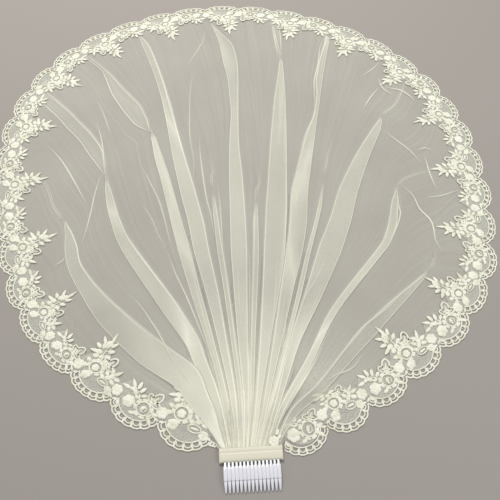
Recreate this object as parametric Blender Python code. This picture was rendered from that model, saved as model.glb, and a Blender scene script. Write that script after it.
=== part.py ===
# Bridal veil laid out flat: one gathered tulle panel, a scalloped corded lace edging sewn on it,
# a satin casing over the gathers and a clear plastic comb held in the casing.
# Sizes are in millimetres and are turned into metres when a mesh is made. The underside lies on z = 0.
import math
from collections import namedtuple

import bmesh
import bpy
import numpy as np
from mathutils import Vector
from mathutils.geometry import delaunay_2d_cdt

MM = 0.001
SEAM = 0.3                 # gap kept between two pieces that touch

# Casing and comb. They lie turned a little, the left end nearer to the comb's tips.
TILT = math.radians(4.0)
CASING = namedtuple("Casing", "length width wall ends_height middle_height")(95.0, 20.0, 1.0, 6.4, 7.4)
CASING_CENTRE = (-2.5, 12.0)
CASING_CORNERS = (1.6, 0.7)          # outer and inner roundness of the folded ends
CASING_SECTIONS = ((-1.0, 0.0), (-0.85, 0.5), (0.0, 1.0), (0.85, 0.5), (1.0, 0.0))   # (place, crown)
COMB_CENTRE = (-2.0, 12.0)
COMB_INSIDE = 1.5          # the spine lies this far inside the casing's front edge
TINES = 15
TINES_SPAN = 82.0          # over the outermost tines; the spine is longer and ends inside the casing
TINE_STATIONS = (0.0, 0.15, 0.35, 0.55, 0.78, 0.94)
TINE = namedtuple("Tine", "root_width tip_width length thickness")(3.8, 2.5, 42.0, 2.2)
SPINE = namedtuple("Spine", "length depth thickness")(90.0, 7.0, 3.0)
COMB_ARCH = 4.8            # how far the tines rise over their two ends

# Tulle.
TULLE = 1.0                # wall of the single layer
FOLD_RISE = 2.0            # two more layers where the cloth is folded over
GATHERS = namedtuple("Gathers", "rise reach pleat pleat_reach")(4.2, 110.0, 1.3, 210.0)
GATHERS_EDGE = 7.0         # the gathers rise over one part in this many of the panel's width
TULLE_INSET = 10.0         # the tulle ends this far inside the scallops' valleys

# Lace edging.
SCALLOPS = 38
LACE = 1.2                 # wall of the flat ground
STEP_RUN = 2.2             # the lace drops off the tulle's edge to the floor over this run
SCALLOP_SAG = 24.0         # how far a scallop stands out past the line through its valleys
# How far the gathered cloth draws each scallop in, from the casing's right end round to its left end.
DRAWN_IN = (0, 1, 5, 6, 5, 9, 5, 7, 6.5, 8.5, 9, 9, 8, 11, 12, 12, 12, 12, 12, 12, 12, 12, 12, 12, 9.5, 9,
            9.5, 8.5, 8, 8, 8, 8, 8, 12, 11.5, 8, 3, 0)
DRAWN_REACH = 40.0         # deeper than this nothing is drawn in
CORD_WAVE = 0.9            # small waves of the outer cord, one for each hole
HOLES = 7
HOLE = namedtuple("Hole", "radius_from_edge width height pitch")(7.8, 6.6, 5.0, 12.0)
# How far short of an even spacing each valley lies: the edging lies a little unevenly round the veil.
VALLEYS_SHORT = [
    0, 7, 11, 11, 9, 7, 7, 8, 10, 13, 15, 18, 22, 24, 24, 24, 24, 24, 22, 19, 17, 16, 16, 14, 12, 11, 10, 8,
    8, 8, 8, 10, 15, 20, 25, 27, 25, 19, 12,
]

# The line through the scallops' valleys, from the casing's right end round to its left end.
Station = namedtuple("Station", "x y")
BORDER = [
    Station(47.5, 25), Station(181, 89), Station(306, 184), Station(402, 308), Station(438, 498),
    Station(418, 705), Station(315, 884), Station(154, 996), Station(-43, 1040), Station(-235, 1005),
    Station(-404, 896), Station(-493, 728), Station(-497, 525), Station(-438, 336), Station(-350, 182),
    Station(-200, 78), Station(-53, 23),
]

# Inner edge of the lace over one repeat of two scallops: a sprig, a palmette, a long spray, a palmette.
Rim = namedtuple("Rim", "along depth")
INNER_EDGE = [
    Rim(0.00, 34), Rim(0.05, 42), Rim(0.09, 52), Rim(0.14, 40), Rim(0.24, 33), Rim(0.34, 38),
    Rim(0.43, 48), Rim(0.49, 38), Rim(0.56, 50), Rim(0.61, 72), Rim(0.65, 95), Rim(0.69, 70),
    Rim(0.74, 52), Rim(0.80, 60), Rim(0.86, 47), Rim(0.93, 40),
]
# Raised flowers of one repeat: place along it, depth, radius of the petals' crests and rise.
Flower = namedtuple("Flower", "along depth radius rise")
FLOWERS = [
    Flower(0.00, 19, 5.6, 0.7), Flower(0.16, 14, 6.4, 0.8), Flower(0.33, 12, 9.6, 1.0),
    Flower(0.50, 19, 5.6, 0.7), Flower(0.67, 27, 11.2, 1.0), Flower(0.83, 13, 7.2, 0.8),
]
PETALS = 5
FLOWER_MARGIN = 4.0        # least lace left round a flower's crests

# Folds of the tulle from left to right: where each leaves the casing, a point near the casing, a point
# half way, the valley number where it meets the lace, and its width at the two points.
Fold = namedtuple("Fold", "foot low_x low_y mid_x mid_y edge low_width mid_width")
FOLDS = [
    Fold(-38, -106, 110, -237, 226, 29.4, 40, 44),
    Fold(-30, -84, 154, -224, 360, 25.3, 18, 26),
    Fold(-22, -62, 156, -150, 425, 23.6, 12, 24),
    Fold(-14, -42, 158, -120, 462, 22.2, 13, 34),
    Fold(-5, -13, 160, -31, 462, 20.2, 13, 27),
    Fold(3, 14, 160, 44, 500, 18.0, 14, 38),
    Fold(11, 33, 158, 84, 476, 16.3, 14, 30),
    Fold(20, 52, 156, 172, 478, 13.4, 15, 38),
    Fold(29, 72, 146, 222, 350, 10.8, 9, 14),
    Fold(37, 104, 118, 190, 222, 6.3, 12, 18),
]
EDGE_STEP = 0.62           # widest spacing of the tulle's sections at the lace, in scallops
RANKS = (0.0, 0.25, 0.6, 1.0, 1.35, 1.7, 2.0, 2.3, 2.6, 2.85, 3.0, 4.0)   # casing 0, edge 4
FOLD_FOOT = 4.0            # width of each fold where it enters the casing
FOLD_SKIRT = 0.8           # a fold's edge drops to the single layer over this run
FOLD_EDGE = 0.12           # width of each fold at the lace, in scallops
SIDE_REACH = (3.2, 6.0)    # the panel's side edges run this many scallops, on the right and on the left
GRIP = 11.5                # length of tulle held inside the casing
LACE_START = 12.0          # the lace begins this far from the casing
LACE_WIDENS = (2.0, 0.9)   # beside the casing it is this deep, and so much deeper for each mm along
CLEAR_MARGIN = 15.0        # the folds end at least this far inside the lace
CLEAR_WINDOW = (5.0, 48.0) # and clear its sprays this far to each side, beside the casing and elsewhere
CLEAR_FADE = (10.0, 80.0)  # then rise over this run, beside the casing and elsewhere


def smooth(x):
    x = min(max(x, 0.0), 1.0)
    return x * x * (3 - 2 * x)


def catmull(points, t):
    """A point of the smooth curve through points; t counts from one point to the next."""
    i = min(int(t), len(points) - 2)
    f = t - i
    p = [np.array(points[k], float) for k in (max(i - 1, 0), i, i + 1, min(i + 2, len(points) - 1))]
    if i == 0:
        p[0] = 2 * p[1] - p[2]
    if i == len(points) - 2:
        p[3] = 2 * p[2] - p[1]
    return 0.5 * (
        2 * p[1] + (p[2] - p[0]) * f + (2 * p[0] - 5 * p[1] + 4 * p[2] - p[3]) * f ** 2
        + (3 * p[1] - p[0] - 3 * p[2] + p[3]) * f ** 3
    )


class Border:
    """The valley line by arc length, with its inward normal."""

    def __init__(self, stations, steps=24):
        ts = np.linspace(0, len(stations) - 1, steps * (len(stations) - 1) + 1)
        self.line = np.array([catmull(stations, t) for t in ts])
        runs = np.linalg.norm(np.diff(self.line, axis=0), axis=1)
        self.at = np.concatenate([[0], np.cumsum(runs)])
        self.length = self.at[-1]
        along = np.gradient(self.line, self.at, axis=0)
        along /= np.linalg.norm(along, axis=1)[:, None]
        self.normal = np.stack([-along[:, 1], along[:, 0]], axis=1)

    def point(self, s, depth=0.0):
        n = np.array([np.interp(s, self.at, self.normal[:, k]) for k in (0, 1)])
        p = np.array([np.interp(s, self.at, self.line[:, k]) for k in (0, 1)])
        return p + n / np.linalg.norm(n) * depth

    def place(self, p):
        """(arc length, depth) of the border point nearest to p."""
        gap = self.line - p
        i = int(np.argmin((gap ** 2).sum(axis=1)))
        return self.at[i], float(-(gap[i] * self.normal[i]).sum())


border = Border(BORDER)
PITCH = border.length / SCALLOPS
ARC_RADIUS = ((PITCH / 2) ** 2 + SCALLOP_SAG ** 2) / (2 * SCALLOP_SAG)


VALLEYS = [n * PITCH - short for n, short in enumerate(VALLEYS_SHORT)]


def arc_length(scallop):
    """Arc length along the border at a place counted in scallops."""
    return float(np.interp(scallop, range(SCALLOPS + 1), VALLEYS))


def scallop_at(s):
    return float(np.interp(s, VALLEYS, range(SCALLOPS + 1)))


def inner_depth(s):
    """Depth of the lace at arc length s. It narrows where the folds cover it beside the casing."""
    along = [rim.along for rim in INNER_EDGE] + [1.0]
    depth = [rim.depth for rim in INNER_EDGE] + [INNER_EDGE[0].depth]
    wide = float(np.interp((scallop_at(s) / 2) % 1.0, along, depth))
    return min(wide, LACE_WIDENS[0] + LACE_WIDENS[1] * from_casing(s))


def from_casing(s):
    return min(s, border.length - s)


def clear_depth(s):
    """The tulle is flat, one layer, out to this depth, so that the lace can lie on it."""
    reach = min(CLEAR_WINDOW[0] + from_casing(s) / 2, CLEAR_WINDOW[1])
    around = np.clip(s + reach * np.linspace(-1, 1, 17), 0, border.length)
    return CLEAR_MARGIN + max(inner_depth(a) for a in around)


def tilted(x, y, centre):
    c, s = math.cos(TILT), math.sin(TILT)
    return centre[0] + c * x - s * y, centre[1] + s * x + c * y


def new_object(name, bm, colour, roughness, alpha=1.0):
    mesh = bpy.data.meshes.new(name)
    bmesh.ops.recalc_face_normals(bm, faces=bm.faces)
    bm.to_mesh(mesh)
    bm.free()
    material = bpy.data.materials.new(name)
    material.use_nodes = True
    shader = material.node_tree.nodes["Principled BSDF"]
    shader.inputs["Base Color"].default_value = (*colour, 1)
    shader.inputs["Roughness"].default_value = roughness
    shader.inputs["Metallic"].default_value = 0.0
    shader.inputs["Alpha"].default_value = alpha
    mesh.materials.append(material)
    obj = bpy.data.objects.new(name, mesh)
    bpy.context.scene.collection.objects.link(obj)
    return obj


def inside(points, loop):
    """For each point, True if it lies inside the closed loop."""
    x, y = points[:, 0], points[:, 1]
    found = np.zeros(len(points), bool)
    for (x0, y0), (x1, y1) in zip(loop, np.roll(loop, -1, axis=0)):
        if y0 != y1:
            found ^= ((y0 > y) != (y1 > y)) & (x < (x1 - x0) * (y - y0) / (y1 - y0) + x0)
    return found


def slab(outline, holes, lines, low, high):
    """A closed wall over a flat outline with holes: low and high give its two faces' heights.

    Each line is a row of (x, y, lift): the faces bend along it, and high gets the lift.
    """
    points, edges, lifts = [], [], []
    for loop in [outline, *holes]:
        first = len(points)
        points += [Vector((p[0], p[1])) for p in loop]
        lifts += [0.0] * len(loop)
        edges += [(first + i, first + (i + 1) % len(loop)) for i in range(len(loop))]
    for line in lines:
        first = len(points)
        points += [Vector((p[0], p[1])) for p in line]
        lifts += [p[2] for p in line]
        edges += [(first + i, first + i + 1) for i in range(len(line) - 1)]
    made, _, faces, source, _, _ = delaunay_2d_cdt(points, edges, [], 0, 1e-5)
    at = np.array([(p.x, p.y) for p in made])
    middle = np.array([at[list(f)].mean(axis=0) for f in faces])
    a, b, c = (at[[f[k] for f in faces]] for k in range(3))
    keep = inside(middle, np.array(outline)) & (np.abs(np.cross(b - a, c - a)) > 1e-3)
    for hole in holes:
        keep &= ~inside(middle, np.array(hole))
    bm = bmesh.new()
    floor = [bm.verts.new((x * MM, y * MM, low(x, y) * MM)) for x, y in at]
    for f, kept in zip(faces, keep):
        if kept:
            bm.faces.new([floor[i] for i in f])
    lift = [max((lifts[i] for i in ids), default=0.0) for ids in source]
    top = {floor[i].co.xy.to_tuple(6): high(*at[i]) + lift[i] for i in range(len(at))}
    raised = bmesh.ops.extrude_face_region(bm, geom=list(bm.faces))
    for v in (g for g in raised["geom"] if isinstance(g, bmesh.types.BMVert)):
        v.co.z = top[v.co.xy.to_tuple(6)] * MM
    bmesh.ops.delete(bm, geom=[v for v in bm.verts if not v.link_faces], context="VERTS")
    return bm


def column(fold_points, edge):
    """Points of one section line of the tulle, from the casing out to its edge."""
    s = arc_length(edge)
    stops = [*fold_points, border.point(s, clear_depth(s)), border.point(s, TULLE_INSET)]
    return [catmull(stops, rank) for rank in RANKS]


def mouth(x):
    """A point of the casing's open back edge, x from its middle."""
    return np.array(tilted(x, CASING.width / 2 + SEAM, CASING_CENTRE))


def side_column(start, end, x):
    """The tulle's own side edge, which runs under the lace from the casing."""
    shares = [(k - 0.9) / (len(RANKS) - 1.9) for k in range(1, len(RANKS))]
    return [mouth(x)] + [border.point(start + (end - start) * f, TULLE_INSET) for f in shares]


def blend(a, b, f):
    return [(1 - f) * np.array(p) + f * np.array(q) for p, q in zip(a, b)]


def tulle_columns():
    """The panel's section lines from left to right, each as (points, folded over, pleat crest)."""
    folds = []
    for fold in FOLDS:
        foot = mouth(fold.foot)
        low = np.array((fold.low_x, fold.low_y), float)
        mid = np.array((fold.mid_x, fold.mid_y), float)
        across = np.array((low - foot)[::-1]) * (1, -1)
        across /= np.linalg.norm(across)
        out = np.array((mid - low)[::-1]) * (1, -1)
        out /= np.linalg.norm(out)
        sides = []
        for half, high in ((-0.5, False), (-0.5, True), (0.5, True), (0.5, False)):
            skirt = 0 if high else math.copysign(FOLD_SKIRT, half)
            stops = [
                foot + np.array((half * FOLD_FOOT + skirt / 2, 0)),
                low + across * (half * fold.low_width + skirt),
                mid + out * (half * fold.mid_width + skirt),
            ]
            edge = fold.edge - half * FOLD_EDGE - skirt / 20
            sides.append((column(stops, edge), high, False))
        folds.append((fold.edge, sides))
    right, left = SIDE_REACH[0], SCALLOPS - SIDE_REACH[1]
    half_mouth = CASING.length / 2 - CASING.wall - 1.5
    rows = [(side_column(border.length, arc_length(left), -half_mouth), False, False)]
    last_edge = left
    for edge, sides in folds:
        rows += between(rows[-1], sides[0], last_edge - edge)
        rows += sides
        last_edge = edge
    end = (side_column(0, arc_length(right), half_mouth), False, False)
    rows += between(rows[-1], end, last_edge - right)
    return [*rows, end]


def between(a, b, scallops):
    """Pleats between two section lines: crests and valleys by turns, ending on a crest."""
    count = 2 * max(1, math.ceil(scallops / EDGE_STEP / 2)) + 1
    made = []
    for i in range(1, count + 1):
        f = i / (count + 1)
        points = blend(a[0], b[0], f)
        s0, s1 = border.place(a[0][-1])[0], border.place(b[0][-1])[0]
        s = s0 + (s1 - s0) * f
        points[-1] = border.point(s, TULLE_INSET)
        if s0 < border.length - 7 * PITCH and s1 > 4 * PITCH:
            points[-2] = border.point(s, clear_depth(s))
        made.append((points, False, i % 2 == 1))
    return made


def tulle_height(point, rank, folded, crest, fraction):
    """Height of the tulle's upper face."""
    s, depth = border.place(point)
    out = math.dist(point, CASING_CENTRE) - CASING.width / 2
    fade = CLEAR_FADE[0] + min(CLEAR_FADE[1], from_casing(s) / 2)
    free = smooth((depth - clear_depth(s)) / fade)
    sides = smooth(min(fraction, 1 - fraction) * GATHERS_EDGE)
    height = GATHERS.rise * smooth(1 - out / GATHERS.reach) * sides
    if crest:
        height += GATHERS.pleat * smooth(1 - out / GATHERS.pleat_reach) * sides
    if folded:
        height += FOLD_RISE * smooth((rank - 0.2) / 0.5)
    return TULLE + height * free


def make_tulle():
    """One wall from inside the casing out to its edge under the lace, flat below, folded above."""
    rows = tulle_columns()
    bm = bmesh.new()
    grid = []
    into = mouth(0) - np.array(tilted(0, CASING.width / 2 + SEAM - GRIP, CASING_CENTRE))
    held = CASING.ends_height - CASING.wall - SEAM
    for i, (points, folded, crest) in enumerate(rows):
        places = [(*(points[0] - into), held), (*points[0], held)]
        for rank, p in zip(RANKS[1:], points[1:]):
            places.append((*p, tulle_height(p, rank, folded, crest, i / (len(rows) - 1))))
        grid.append([bm.verts.new(Vector(place) * MM) for place in places])
    held_edge = {v.co.xy.to_tuple(6) for line in grid for v in line[:2]}
    for a, b in zip(grid, grid[1:]):
        for k in range(len(RANKS)):
            bm.faces.new((a[k], a[k + 1], b[k + 1], b[k]))
    raised = bmesh.ops.extrude_face_region(bm, geom=list(bm.faces))
    for v in (g for g in raised["geom"] if isinstance(g, bmesh.types.BMVert)):
        v.co.z = (CASING.wall + SEAM) * MM if v.co.xy.to_tuple(6) in held_edge else 0
    flat = [f for f in bm.faces if all(abs(v.co.z) < 1e-7 for v in f.verts)]
    bmesh.ops.dissolve_faces(bm, faces=flat)
    return new_object("tulle_panel", bm, (0.86, 0.86, 0.78), 0.7, 0.5)


def border_range(first, last, depth, step):
    """Unlifted points along the border at one depth, at even steps, from one arc length to another."""
    count = max(2, round(abs(last - first) / step))
    return [(*border.point(s, depth), 0.0) for s in np.linspace(first, last, count + 1)]


def drawn_in(scallop, depth):
    """Depth after the cloth has drawn its scallop in, most at the scallop's middle."""
    whole = min(max(int(scallop), 0), SCALLOPS - 1)
    across = 2 * (scallop - whole) - 1
    share = max(0.0, 1 - across ** 2) * min(1.0, max(0.0, (DRAWN_REACH - depth) / (DRAWN_REACH + 5)))
    return depth + DRAWN_IN[whole] * share


def arc_point(scallop, angle, radius):
    """A point of a scallop, by its angle from the scallop's outward middle and its radius."""
    place = scallop + 0.5 + radius * math.sin(angle) / PITCH
    depth = drawn_in(place, ARC_RADIUS - SCALLOP_SAG - radius * math.cos(angle))
    return border.point(arc_length(place), depth)


def scallop_edge(scallop):
    """The waved outer cord of one scallop, from its first valley up to the next one."""
    spread = HOLE.pitch / (ARC_RADIUS - HOLE.radius_from_edge)
    made = [border.point(arc_length(scallop))]
    for i in range(HOLES):
        angle = (i - (HOLES - 1) / 2) * spread
        if i:
            made.append(arc_point(scallop, angle - spread / 2, ARC_RADIUS - CORD_WAVE))
        made.append(arc_point(scallop, angle, ARC_RADIUS + CORD_WAVE / 2))
    return made


def scallop_holes(scallop):
    """The open loops inside the outer cord, each wider on its inner side."""
    radius = ARC_RADIUS - HOLE.radius_from_edge
    made = []
    for i in range(HOLES):
        middle = (i - (HOLES - 1) / 2) * HOLE.pitch / radius
        half = HOLE.width / 2 / radius
        corners = ((-1, -0.5), (1, -0.5), (0.6, 0.5), (-0.6, 0.5))
        made.append([arc_point(scallop, middle + a * half, radius + b * HOLE.height) for a, b in corners])
    return made


def lace_floor(x, y):
    """Height of the lace's underside: on the tulle inside its edge, on the floor outside."""
    _, depth = border.place(np.array((x, y)))
    return (TULLE + SEAM) * smooth((depth - (TULLE_INSET - SEAM - STEP_RUN)) / STEP_RUN)


def make_lace(name, first, last):
    """The edging from one valley to another, with its holes cut through and its flowers raised."""
    outline = [p for n in range(first, last) for p in scallop_edge(n)]
    start = arc_length(first) + (SEAM / 2 if first else LACE_START)
    end = arc_length(last) - (SEAM / 2 if last < SCALLOPS else 0)
    outline[0] = border.point(start)
    outline.append(border.point(end))
    rims = [
        arc_length((repeat + rim.along) * 2)
        for repeat in range(first // 2, math.ceil(last / 2)) for rim in INNER_EDGE
    ]
    rims = [s for s in rims if start + 3 < s < end - 3]
    step = (TULLE_INSET - SEAM - STEP_RUN, TULLE_INSET - SEAM)
    outline += [border.point(end, depth) for depth in step]
    outline += [border.point(s, inner_depth(s)) for s in [end, *rims[::-1], start]]
    outline += [border.point(start, depth) for depth in step[::-1]]
    lines = [border_range(start, end, depth, PITCH / 3) for depth in step]
    for repeat in range(first // 2, math.ceil(last / 2) + 1):
        for flower in FLOWERS:
            s = arc_length((repeat + flower.along) * 2)
            reach = flower.radius + FLOWER_MARGIN
            if start + reach < s < end - reach and flower.depth + reach < inner_depth(s):
                lines.append([(*border.point(s, flower.depth), flower.rise / 2)])
                for k in range(PETALS):
                    angle = math.tau * (k + 0.25) / PETALS
                    depth = flower.depth + flower.radius * math.sin(angle)
                    if depth > TULLE_INSET:
                        place = border.point(s + flower.radius * math.cos(angle), depth)
                        lines.append([(*place, flower.rise)])
    holes = [hole for n in range(first, last) for hole in scallop_holes(n)]
    bm = slab(outline, holes, lines, lace_floor, lambda x, y: lace_floor(x, y) + LACE)
    return new_object(name, bm, (0.92, 0.9, 0.76), 0.8)


def ring_points(half_length, low, high, corner):
    """A rounded rectangle in x and z, as (x, z), four points to a corner."""
    made = []
    corners = ((half_length, high), (-half_length, high), (-half_length, low), (half_length, low))
    for turn, (cx, cz) in enumerate(corners):
        for k in range(4):
            angle = math.pi / 2 * (turn + k / 3)
            x = cx - math.copysign(corner, cx) + corner * math.cos(angle)
            z = cz + (corner if turn > 1 else -corner) + corner * math.sin(angle)
            made.append((x, z))
    return made


def make_casing():
    """The satin strip round the gathers and the comb's spine: a flat tube, open front and back."""
    bm = bmesh.new()
    outer_corner, inner_corner = CASING_CORNERS
    rings = []
    for place, crown in CASING_SECTIONS:
        y = place * CASING.width / 2
        height = CASING.ends_height + crown * (CASING.middle_height - CASING.ends_height)
        outer = ring_points(CASING.length / 2, 0.0, height, outer_corner)
        inner = ring_points(CASING.length / 2 - CASING.wall, CASING.wall, height - CASING.wall, inner_corner)
        pair = []
        for ring in (outer, inner):
            places = [(*tilted(x, y, CASING_CENTRE), z) for x, z in ring]
            pair.append([bm.verts.new(Vector(p) * MM) for p in places])
        rings.append(pair)
    count = len(rings[0][0])
    for k in range(count):
        n = (k + 1) % count
        for (outer, inner), (outer_next, inner_next) in zip(rings, rings[1:]):
            bm.faces.new((outer[k], outer[n], outer_next[n], outer_next[k]))
            bm.faces.new((inner[n], inner[k], inner_next[k], inner_next[n]))
        for outer, inner in (rings[0], rings[-1]):
            bm.faces.new((outer[k], outer[n], inner[n], inner[k]))
    return new_object("casing", bm, (0.85, 0.82, 0.7), 0.45)


def comb_middle(x, y):
    """Height of the comb's mid-plane over the floor; the tines arch from the spine to their tips."""
    c, s = math.cos(TILT), math.sin(TILT)
    along = -s * (x - COMB_CENTRE[0]) + c * (y - COMB_CENTRE[1])
    f = min(max((CASING.width / -2 - along) / TINE.length, 0.0), 1.0)
    spine = CASING.wall + SEAM + SPINE.thickness / 2
    return spine * (1 - f) + TINE.thickness / 2 * f + COMB_ARCH * 4 * f * (1 - f)


def make_comb():
    """A spine with fifteen rounded tines in one arched slab."""
    root = CASING.width / -2
    front = root + COMB_INSIDE
    back = front + SPINE.depth
    pitch = (TINES_SPAN - TINE.root_width) / (TINES - 1)
    stations = [root - TINE.length * f for f in TINE_STATIONS]
    end = SPINE.length / 2
    outline = [(end, front), (end, back), (-end, back), (-end, front)]
    lines = []
    for i in range(TINES):
        x = (i - (TINES - 1) / 2) * pitch
        halves = [
            (TINE.root_width + (TINE.tip_width - TINE.root_width) * (root - y) / TINE.length) / 2
            for y in stations
        ]
        left = [(x - h, y) for h, y in zip(halves, stations)]
        right = [(x + h, y) for h, y in zip(halves, stations)]
        shoulder = TINE.root_width / 2
        tip = (x, root - TINE.length)
        outline += [(x - shoulder, front), *left, tip, *right[::-1], (x + shoulder, front)]
        for (x0, y), (x1, _) in zip(left, right):
            lines.append([(*tilted(p, y, COMB_CENTRE), 0.0) for p in (x0, x1)])
    kept = [outline[0]]
    for p in outline[1:]:
        if math.dist(p, kept[-1]) > 1e-6 and math.dist(p, kept[0]) > 1e-6:
            kept.append(p)
    outline = [tilted(x, y, COMB_CENTRE) for x, y in kept]

    def half(x, y):
        c, s = math.cos(TILT), math.sin(TILT)
        along = -s * (x - COMB_CENTRE[0]) + c * (y - COMB_CENTRE[1])
        return SPINE.thickness / 2 if along > root + 1 else TINE.thickness / 2

    bm = slab(outline, [], lines, lambda x, y: comb_middle(x, y) - half(x, y),
              lambda x, y: comb_middle(x, y) + half(x, y))
    return new_object("comb", bm, (0.9, 0.89, 0.94), 0.12, 0.45)


def centre_on_floor(objects):
    """Puts the origin under the middle of the whole veil."""
    corners = np.array([v.co.xy for obj in objects for v in obj.data.vertices])
    middle = (corners.min(axis=0) + corners.max(axis=0)) / 2
    for obj in objects:
        obj.location = (-middle[0], -middle[1], 0)


for old in list(bpy.data.objects):
    bpy.data.objects.remove(old, do_unlink=True)
centre_on_floor([
    make_tulle(),
    make_lace("lace_right", 0, SCALLOPS // 2),
    make_lace("lace_left", SCALLOPS // 2, SCALLOPS),
    make_casing(),
    make_comb(),
])
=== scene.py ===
import math

import bpy
import numpy as np
from mathutils import Matrix, Vector


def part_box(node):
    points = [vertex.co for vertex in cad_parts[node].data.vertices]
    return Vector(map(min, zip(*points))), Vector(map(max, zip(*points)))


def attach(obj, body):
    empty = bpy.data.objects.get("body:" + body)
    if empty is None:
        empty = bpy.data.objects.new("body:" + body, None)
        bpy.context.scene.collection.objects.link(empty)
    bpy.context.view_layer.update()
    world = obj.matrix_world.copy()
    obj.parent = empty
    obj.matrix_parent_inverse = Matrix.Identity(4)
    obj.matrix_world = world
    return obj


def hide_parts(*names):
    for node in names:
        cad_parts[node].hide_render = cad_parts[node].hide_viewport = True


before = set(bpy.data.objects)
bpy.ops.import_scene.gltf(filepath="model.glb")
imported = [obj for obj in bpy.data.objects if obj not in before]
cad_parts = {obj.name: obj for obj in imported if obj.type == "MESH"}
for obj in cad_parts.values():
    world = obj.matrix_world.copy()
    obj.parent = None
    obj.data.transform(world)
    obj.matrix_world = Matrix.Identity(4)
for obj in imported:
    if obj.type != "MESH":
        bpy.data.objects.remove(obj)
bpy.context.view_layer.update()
casingLow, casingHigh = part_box("casing")
print("frame loaded")

# Plan measures below are in millimetres, from a point just behind the comb's middle.
casingCentre = (-2.5, 12.0)
tilt = math.radians(4.0)                 # the comb and its casing lie turned a little
planOrigin = (casingLow + casingHigh) / 2 - Vector((casingCentre[0] / 1000, casingCentre[1] / 1000, 0))


def toFrame(points):
    # plan points and heights, as the frame's metres
    return np.asarray(points, float) * 0.001 + (planOrigin.x, planOrigin.y, 0)


def casingPlan(x, y):
    # the plan point at x along the casing and y across it, from its centre
    c, s = math.cos(tilt), math.sin(tilt)
    return casingCentre[0] + c * x - s * y, casingCentre[1] + s * x + c * y


def smooth(x):
    x = np.clip(x, 0.0, 1.0)
    return x * x * (3 - 2 * x)


def curveThrough(points, steps):
    # a Catmull-Rom curve, with steps pieces between two points
    p = np.array(points, float)
    p = np.vstack([2 * p[0] - p[1], p, 2 * p[-1] - p[-2]])
    made = []
    for i in range(1, len(p) - 2):
        for f in np.arange(steps) / steps:
            made.append(0.5 * (
                2 * p[i] + (p[i + 1] - p[i - 1]) * f
                + (2 * p[i - 1] - 5 * p[i] + 4 * p[i + 1] - p[i + 2]) * f ** 2
                + (3 * p[i] - p[i - 1] - 3 * p[i + 1] + p[i + 2]) * f ** 3
            ))
    return np.array([*made, p[-2]])


def lengthsAlong(line):
    return np.concatenate([[0], np.cumsum(np.linalg.norm(np.diff(line, axis=0), axis=1))])


def unit(vectors):
    return vectors / np.linalg.norm(vectors, axis=1)[:, None]


def leftOf(ahead):
    return np.stack([-ahead[:, 1], ahead[:, 0]], axis=1)


def pointsAt(places, at, line):
    # a line's values at the given lengths along it
    return np.stack([np.interp(places, at, line[:, k]) for k in (0, 1)], axis=1)


def gridFaces(lines, count, first=0, flip=False):
    # quads between neighbouring lines of count points each
    b, d = (1, count) if flip else (count, 1)
    starts = [first + line * count + i for line in range(lines - 1) for i in range(count - 1)]
    return [(a, a + b, a + count + 1, a + d) for a in starts]


def newPiece(name, points, faces, material, uv=None, values=None):
    # a smooth mesh in the frame's metres, riding on the veil
    mesh = bpy.data.meshes.new(name)
    mesh.from_pydata(np.asarray(points).tolist(), [], faces)
    mesh.update()
    mesh.polygons.foreach_set("use_smooth", [True] * len(mesh.polygons))
    if uv is not None:
        corners = np.zeros(len(mesh.loops), np.int32)
        mesh.loops.foreach_get("vertex_index", corners)
        layer = mesh.uv_layers.new(name="UVMap")
        layer.data.foreach_set("uv", np.asarray(uv, np.float32)[corners].ravel())
    for key, numbers in (values or {}).items():
        layer = mesh.attributes.new(key, "FLOAT", "POINT")
        layer.data.foreach_set("value", np.asarray(numbers, np.float32))
    mesh.materials.append(material)
    piece = bpy.data.objects.new(name, mesh)
    bpy.context.scene.collection.objects.link(piece)
    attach(piece, "root")
    return piece


# Camera, at the photograph's angle.
view = {
    "standsAt": (-0.00757, -0.13977, 0.857),   # from the plan's origin, metres
    "below": 59.571,                           # degrees below the horizon
    "roll": 0.694,
    "lens": 39.6,
}


def makeCamera():
    x, y, z = view["standsAt"]
    bpy.ops.object.camera_add(location=(planOrigin.x + x, planOrigin.y + y, z))
    camera = bpy.context.object
    camera.name = "camera"
    camera.data.sensor_width = 36
    camera.data.lens = view["lens"]
    camera.data.clip_start = 0.01
    camera.rotation_mode = "XYZ"
    below = math.radians(view["below"])
    look = Vector((0, math.cos(below), -math.sin(below)))
    roll = Matrix.Rotation(math.radians(view["roll"]), 3, "Z")
    camera.rotation_euler = (look.to_track_quat("-Z", "Y").to_matrix() @ roll).to_euler()
    bpy.context.scene.camera = camera


makeCamera()
print("camera set")

# Stage: a plain pale floor and soft studio light.
studio = {
    "floorColour": (0.36, 0.325, 0.295),
    "sky": (0.93, 0.96, 1.0),
    "skyStrength": 0.42,
    "lamps": [
        # name, place, aim, size, watts, colour
        ("softbox", (-0.5, 1.5, 2.4), (0, 0.1, 0), 1.6, 62, (1.0, 0.985, 0.95)),
        ("fill", (1.9, -0.9, 1.7), (0, 0, 0), 1.5, 14, (0.94, 0.97, 1.0)),
    ],
}


def addNode(tree, kind, **inputs):
    node = tree.nodes.new(kind)
    for name, value in inputs.items():
        if name in node.inputs:
            node.inputs[name].default_value = value
        else:
            setattr(node, name, value)
    return node


def newMaterial(name, colour, roughness, **more):
    # a Principled material with its constants on the shader's own sockets
    material = bpy.data.materials.new(name)
    material.use_nodes = True
    shader = material.node_tree.nodes["Principled BSDF"]
    shader.inputs["Base Color"].default_value = (*colour, 1)
    shader.inputs["Roughness"].default_value = roughness
    for socket, value in more.items():
        shader.inputs[socket.replace("_", " ")].default_value = value
    return material, material.node_tree, shader


def link(tree, a, b):
    tree.links.new(a, b)


def addMath(tree, operation, a, b):
    node = addNode(tree, "ShaderNodeMath", operation=operation)
    for socket, value in zip(node.inputs, (a, b)):
        if isinstance(value, float):
            socket.default_value = value
        else:
            link(tree, value, socket)
    return node.outputs[0]


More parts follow.
